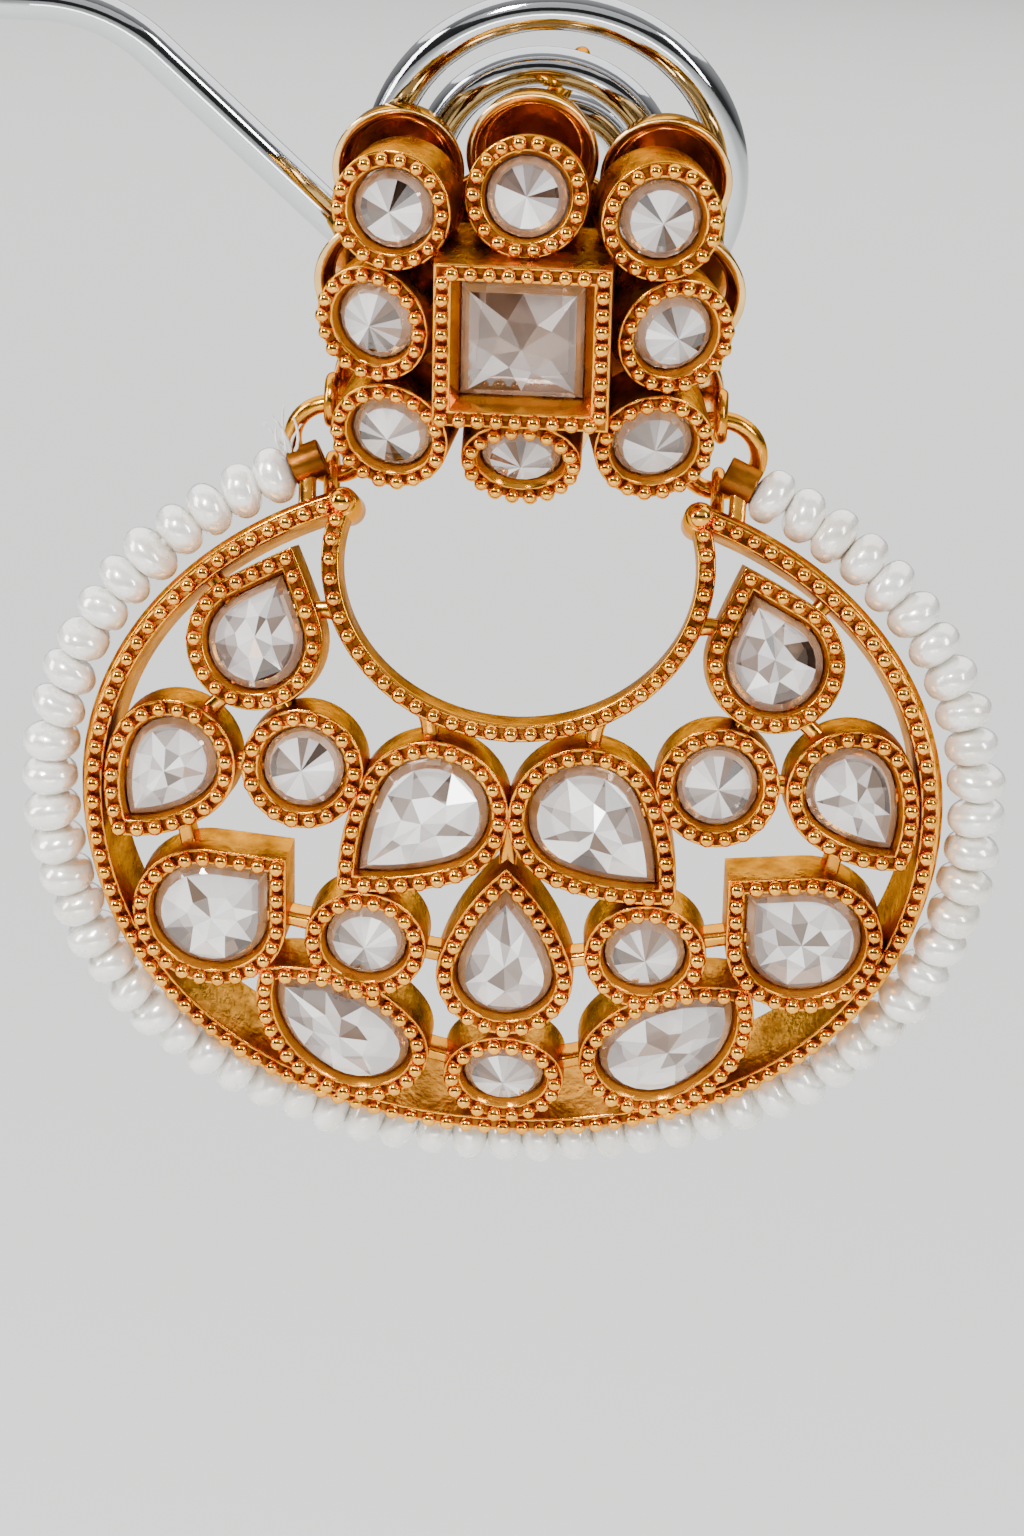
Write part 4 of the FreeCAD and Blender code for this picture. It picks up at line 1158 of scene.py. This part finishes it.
def cut_stone(
    name, outline, place, seed, inset=0.62, level=STONE_LEVEL, rise=STONE_RISE,
    back=STONE_BACK, count=FACETS, painted_gold_reflection=0.1, star=0.0,
):
    """One stone. A star above 0 splits the fan in two rows, which meet at that share of its width."""
    dice = random.Random(seed)
    fine = STAR_FINE if star else 1
    corners = count * fine
    fan = outline_steps(outline(-inset - FAN_INSET), corners)
    edge = outline_steps(outline(-inset - STONE_GAP), corners)
    middle = sum(fan, Vector((0, 0))) / corners
    table = [middle.lerp(point, TABLE_SHARE) for point in edge]
    tip = level - rise + TIP_DEPTH
    base = level + STONE_THICK
    points = [(middle.x, middle.y, tip)]
    for ring, depth in ((fan, level - FAN_DEPTH), (edge, level), (edge, base), (table, base + back)):
        points += [(point.x, point.y, depth) for point in ring]
    fan_faces = []
    if star:
        first = len(points)
        for number in range(count):
            ahead = fan[(number + 1) * fine % corners]
            between = fan[number * fine].lerp(ahead, dice.uniform(0.3, 0.7))
            point = middle.lerp(between, star * dice.uniform(0.85, 1.15))
            points.append((point.x, point.y, tip + (level - FAN_DEPTH - tip) * star - STAR_DEPTH))
        for number in range(count):
            after = (number + 1) % count
            rim = [1 + (number * fine + step) % corners for step in range(fine + 1)]
            fan_faces.append((0, first + number, first + after))
            fan_faces.append((first + number, *rim))
            fan_faces.append((first + number, rim[-1], first + after))
    else:
        fan_faces += [(0, 1 + number, 1 + (number + 1) % count) for number in range(count)]
    painted_tones = painted_facet_tones(dice, len(fan_faces))
    if star:
        dice.shuffle(painted_tones)
    faces = list(fan_faces)
    cuts = []
    # each fan facet's tone is a painted reflection of the room, with some warm tint as a painted
    # reflection of the gold
    for tone in painted_tones:
        shine = 1.0 if dice.random() < MIRROR_SHARE else 0.0
        cuts.append((tone * (1 - painted_gold_reflection), shine, painted_gold_reflection * dice.uniform(0.2, 1.6), 1.0))
    # the side rows take the full warm tint, a painted reflection of the collet's gold wall
    for row in range(FACE_ROWS):
        start = 1 + row * corners
        for number in range(corners):
            after = start + (number + 1) % corners
            faces.append((start + number, after, after + corners, start + number + corners))
            cuts.append((dice.uniform(0.2, 0.9), 0.0, 1.0, 1.0))
    faces.append(tuple(range(1 + FACE_ROWS * corners, 1 + (FACE_ROWS + 1) * corners)))
    cuts.append((0.8, 0.0, 0.0, 1.0))
    mesh = bpy.data.meshes.new(name)
    mesh.from_pydata([hung(place @ Vector(point)) for point in points], [], faces)
    layer = mesh.attributes.new("cut", "FLOAT_COLOR", "FACE")
    layer.data.foreach_set("color", [value for cut in cuts for value in cut])
    mend(mesh, outwards=True)
    return add_piece(name, mesh)


# %% Crystal
# the stored cut holds a facet's tone, a painted reflection of the room, whether it mirrors, and its
# share of warm tint, a painted reflection of the collet's gold
crystal, tree, shader = new_material("crystal", IOR=1.85)
stored = node(tree, "ShaderNodeAttribute", {"attribute_name": "cut"}).outputs["Color"]
parts = node(tree, "ShaderNodeSeparateColor", Color=stored).outputs
# painted reflections: a facet's tone runs from dark room to white window, and its warm share mixes in
# the collet's gold
painted_tones = ramp(tree, parts["Red"], [
    (0.0, (0.09, 0.045, 0.025)), (0.2, (0.36, 0.25, 0.2)),
    (0.4, (0.86, 0.82, 0.83)), (0.6, (1.0, 1.0, 1.0)),
])
# the warm share is a painted reflection of the collet's gold
share = reckon(tree, "MULTIPLY", parts["Blue"], 0.75)
warm = node(
    tree, "ShaderNodeMix", {"data_type": "RGBA"},
    Factor=share, A=painted_tones, B=(0.62, 0.34, 0.2, 1.0),
)
feed(tree, shader["Base Color"], warm.outputs["Result"])
clear = node(tree, "ShaderNodeMapRange", Value=parts["Red"], To_Min=0.95, To_Max=0.2)
let_through = reckon(tree, "MAXIMUM", clear.outputs["Result"], share)
feed(tree, shader["Transmission Weight"], let_through)
feed(tree, shader["Metallic"], reckon(tree, "MULTIPLY", parts["Green"], 0.7))
feed(tree, shader["Roughness"], span(tree, object_noise(tree, 700.0), 0.0, 0.04))

# %% All stones in their collets
PEAR_NAMES = ("horn", "side", "brow", "leaf", "foot")
ROUND_NAMES = ("outer", "inner")
PETAL_NAMES = (
    "top", "right", "bottom", "left", "top_right", "bottom_right", "bottom_left", "top_left",
)
STARRED = {"count": 9, "star": 0.52}
# the square takes a larger warm share: more of its collet's gold is painted into its facets as
# reflection
SQUARE_CUT = {
    "inset": 0.88, "level": 1.2, "rise": 1.3, "back": 1.1, "count": 8, "painted_gold_reflection": 0.52, "star": 0.5,
}
DROP_SEED = 40
STUD_SEED = 80
SQUARE_SEED = 97
drop_names = []
for name in PEAR_NAMES + ROUND_NAMES:
    drop_names += ["stone_%s_right" % name, "stone_%s_left" % name]
drop_names += ["stone_middle", "stone_bottom"]
drop_stones = []
for index, (name, (outline, place)) in enumerate(zip(drop_names, drop_collets)):
    form = STARRED if name.split("_")[1] in PEAR_NAMES + ("middle",) else {}
    made = cut_stone("cut_" + name, outline, place, DROP_SEED + index, **form)
    drop_stones.append((name, made))
stud_stones = []
for index, (name, place) in enumerate(zip(PETAL_NAMES, petal_places)):
    made = cut_stone("cut_stud_stone_" + name, circle(PETAL_LINE), place, STUD_SEED + index)
    stud_stones.append(("stud_stone_" + name, made))
stud_stones.append(("stud_stone_square", cut_stone(
    "cut_stud_stone_square", square(SQUARE_LINE), square_place, SQUARE_SEED, **SQUARE_CUT,
)))
for name, piece in drop_stones + stud_stones:
    piece.data.materials.append(crystal)
print("stones cut:", len(drop_stones) + len(stud_stones))


# %% Silver foil behind the stud's round stones
FOIL_DEPTH = 1.72
FOIL_THICK = 0.05
foil, tree, shader = new_material("silver_foil", Metallic=1.0, Roughness=0.22)
crinkle = object_noise(tree, 800.0)
shade = ramp(tree, crinkle, [(0.3, (0.7, 0.66, 0.66)), (0.7, (0.95, 0.94, 0.94))])
feed(tree, shader["Base Color"], shade)
bump(tree, shader, crinkle, 0.00006)
foil_skin = Skin()
for place in petal_places:
    disc_line = circle(PETAL_LINE)(STONE_EDGE - STONE_GAP)
    foil_skin.tube([
        [place @ Vector((x, y, depth)) for x, y in disc_line]
        for depth in (FOIL_DEPTH, FOIL_DEPTH + FOIL_THICK)
    ])
stud_foil = foil_skin.build("stud_foil")
stud_foil.data.materials.append(foil)

# %% [markdown]
# ## Wire parts
# The jump rings, the thread and the display hook are already the right shape in the frame.
# Their imported meshes are loose triangles, so a merged and smoothly shaded copy of each ring
# # and of the hook stands in; the thread keeps its imported mesh and only gets its cotton. The
# # hook is chromed steel: nearly a mirror, with faint scratches.

# %% Smooth copies
def smooth_copy(name):
    mesh = nodes[name].data.copy()
    mesh.name = name + "_smooth"
    mend(mesh, weld=1e-6)
    smooth(mesh, 40)
    mesh.materials.clear()
    return add_piece(mesh.name, mesh)


chrome, tree, shader = new_material("chrome", Base_Color=(0.56, 0.57, 0.59, 1.0), Metallic=1.0)
scratch = object_noise(tree, 1500.0, 6.0, 0.7)
feed(tree, shader["Roughness"], span(tree, scratch, 0.03, 0.1))
bump(tree, shader, scratch, 0.000003)

rings = [smooth_copy("jump_ring_left"), smooth_copy("jump_ring_right")]
for ring in rings:
    ring.data.materials.append(cast_gold)
hook = smooth_copy("display_hook")
hook.data.materials.append(chrome)
nodes["pearl_thread"].data.materials.clear()
nodes["pearl_thread"].data.materials.append(cotton)

# %% [markdown]
# ## Hand the pieces to their bodies
# The crescent, its pearls and both jump rings swing together below the stud. Everything else
# stays with the stud.

# %% Bodies and slots
for piece in (crescent_gold, stud_gold):
    for finish in (cast_gold, groove_shade_gold, tray_reflection_gold, rough_wall_shade_gold):
        piece.data.materials.append(finish)
horn_tips.data.materials.append(bead_gold)
for piece in (crescent_gold, crescent_beads, horn_tips, pearls, thread_tail, *rings):
    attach(piece, "drop")
for piece in (stud_gold, stud_beads, stud_foil, hook):
    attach(piece, "stud")
for name, piece in drop_stones + stud_stones:
    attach(piece, "stud" if name.startswith("stud") else "drop")
    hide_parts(name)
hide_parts("drop_frame")
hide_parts("stud_frame")
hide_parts("pearl_string")
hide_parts("jump_ring_left")
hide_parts("jump_ring_right")
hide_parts("display_hook")

# %% [markdown]
# ## Studio
# The photograph is lit softly from above and both sides against a plain pale ground. Polished
# gold and chrome only look right when they have something dark to mirror. So the pale ground is
# seen by the camera alone, and the metal mirrors a room that is dark in front and bright above.
# Small bright softboxes draw the highlights, and two wide lamps light the floor.

# %% Floor
PALE = (0.79, 0.8, 0.775, 1.0)
FLOOR_LEVEL = -0.16
FLOOR_HALF = 9
floor_mesh = bpy.data.meshes.new("floor")
corners = [(-1, -1), (1, -1), (1, 1), (-1, 1)]
floor_mesh.from_pydata(
    [(x * FLOOR_HALF, y * FLOOR_HALF, FLOOR_LEVEL) for x, y in corners], [], [(0, 1, 2, 3)],
)
floor = add_piece("floor", floor_mesh)
paper, tree, shader = new_material("pale_paper", Base_Color=PALE, Roughness=0.9)
floor_mesh.materials.append(paper)

# %% World
ROOM_SIDE = (0.0, 0.45, 0.89)
world = bpy.data.worlds.new("studio")
bpy.context.scene.world = world
world.use_nodes = True
tree = world.node_tree
direction = tree.nodes.new("ShaderNodeTexCoord").outputs["Generated"]
lift = reckon(tree, "DOT_PRODUCT", direction, ROOM_SIDE, kind=VECTORS)
half = node(tree, "ShaderNodeMapRange", Value=lift, From_Min=-1.0)
room = ramp(tree, half.outputs["Result"], [
    (0.0, (0.03, 0.03, 0.03)), (0.55, (0.06, 0.06, 0.06)),
    (0.72, (0.4, 0.4, 0.4)), (0.9, (0.8, 0.8, 0.8)),
])
mirrored = tree.nodes["Background"]
feed(tree, mirrored.inputs["Color"], room)
mirrored.inputs["Strength"].default_value = 0.7
pale = node(tree, "ShaderNodeBackground", Color=PALE, Strength=1.0)
seen = tree.nodes.new("ShaderNodeLightPath").outputs["Is Camera Ray"]
either = node(tree, "ShaderNodeMixShader", Fac=seen)
feed(tree, either.inputs[1], mirrored.outputs["Background"])
feed(tree, either.inputs[2], pale.outputs["Background"])
feed(tree, tree.nodes["World Output"].inputs["Surface"], either.outputs["Shader"])


# %% Softboxes
def softbox(name, position, target, wide, tall, power):
    light = bpy.data.lights.new(name, "AREA")
    light.shape = "RECTANGLE"
    light.size = wide
    light.size_y = tall
    light.energy = power
    lamp = bpy.data.objects.new(name, light)
    lamp.location = position
    aim = Vector(target) - Vector(position)
    lamp.rotation_euler = aim.to_track_quat("-Z", "Y").to_euler()
    lamp.visible_camera = False
    bpy.context.scene.collection.objects.link(lamp)


MIDDLE = (0.0, -0.005, -0.03)
softbox("key", (-0.15, -0.3, 0.24), MIDDLE, 0.06, 0.09, 2.0)
softbox("window", (-0.42, -0.12, 0.12), MIDDLE, 0.12, 0.3, 1.6)
softbox("fill", (0.3, -0.22, 0.12), MIDDLE, 0.06, 0.2, 0.9)
softbox("ground", (0.0, 1.5, 1.1), (0.0, 1.5, FLOOR_LEVEL), 3.4, 3.2, 66.0)
softbox("far_floor", (0.0, -2.4, 1.2), (0.0, -2.4, FLOOR_LEVEL), 3.4, 2.6, 20.0)
softbox("low", (0.0, -0.3, -0.12), MIDDLE, 0.2, 0.03, 0.15)

# %% [markdown]
# ## Camera
# The camera stands where the photographer's did: nearly straight in front, a little above,
# with a long lens and a slight roll.

# %% Camera
LENS = 116.8
SENSOR = 36.0
NEAREST = 0.01
LOOK = (-0.0414, 0.8650, -0.5)
SPOT = (10.49, -228.3, 95.14)
ROLL = 1.25
camera_data = bpy.data.cameras.new("camera")
camera_data.lens = LENS
camera_data.sensor_width = SENSOR
camera_data.clip_start = NEAREST
camera = bpy.data.objects.new("camera", camera_data)
look = (HANG @ Vector(LOOK)).normalized()
spot = hung(SPOT)
right = look.cross(HANG @ Vector((0, 0, 1))).normalized()
up = right.cross(look)
roll = math.radians(ROLL)
right_rolled = right * math.cos(roll) + up * math.sin(roll)
up_rolled = up * math.cos(roll) - right * math.sin(roll)
axes = Matrix((right_rolled, up_rolled, -look)).transposed()
camera.matrix_world = Matrix.Translation(spot) @ axes.to_4x4()
bpy.context.scene.collection.objects.link(camera)
bpy.context.scene.camera = camera
print("camera at", [round(v * 1000, 1) for v in spot], "looks", [round(v, 3) for v in look])

# %% Update the scene
bpy.context.view_layer.update()
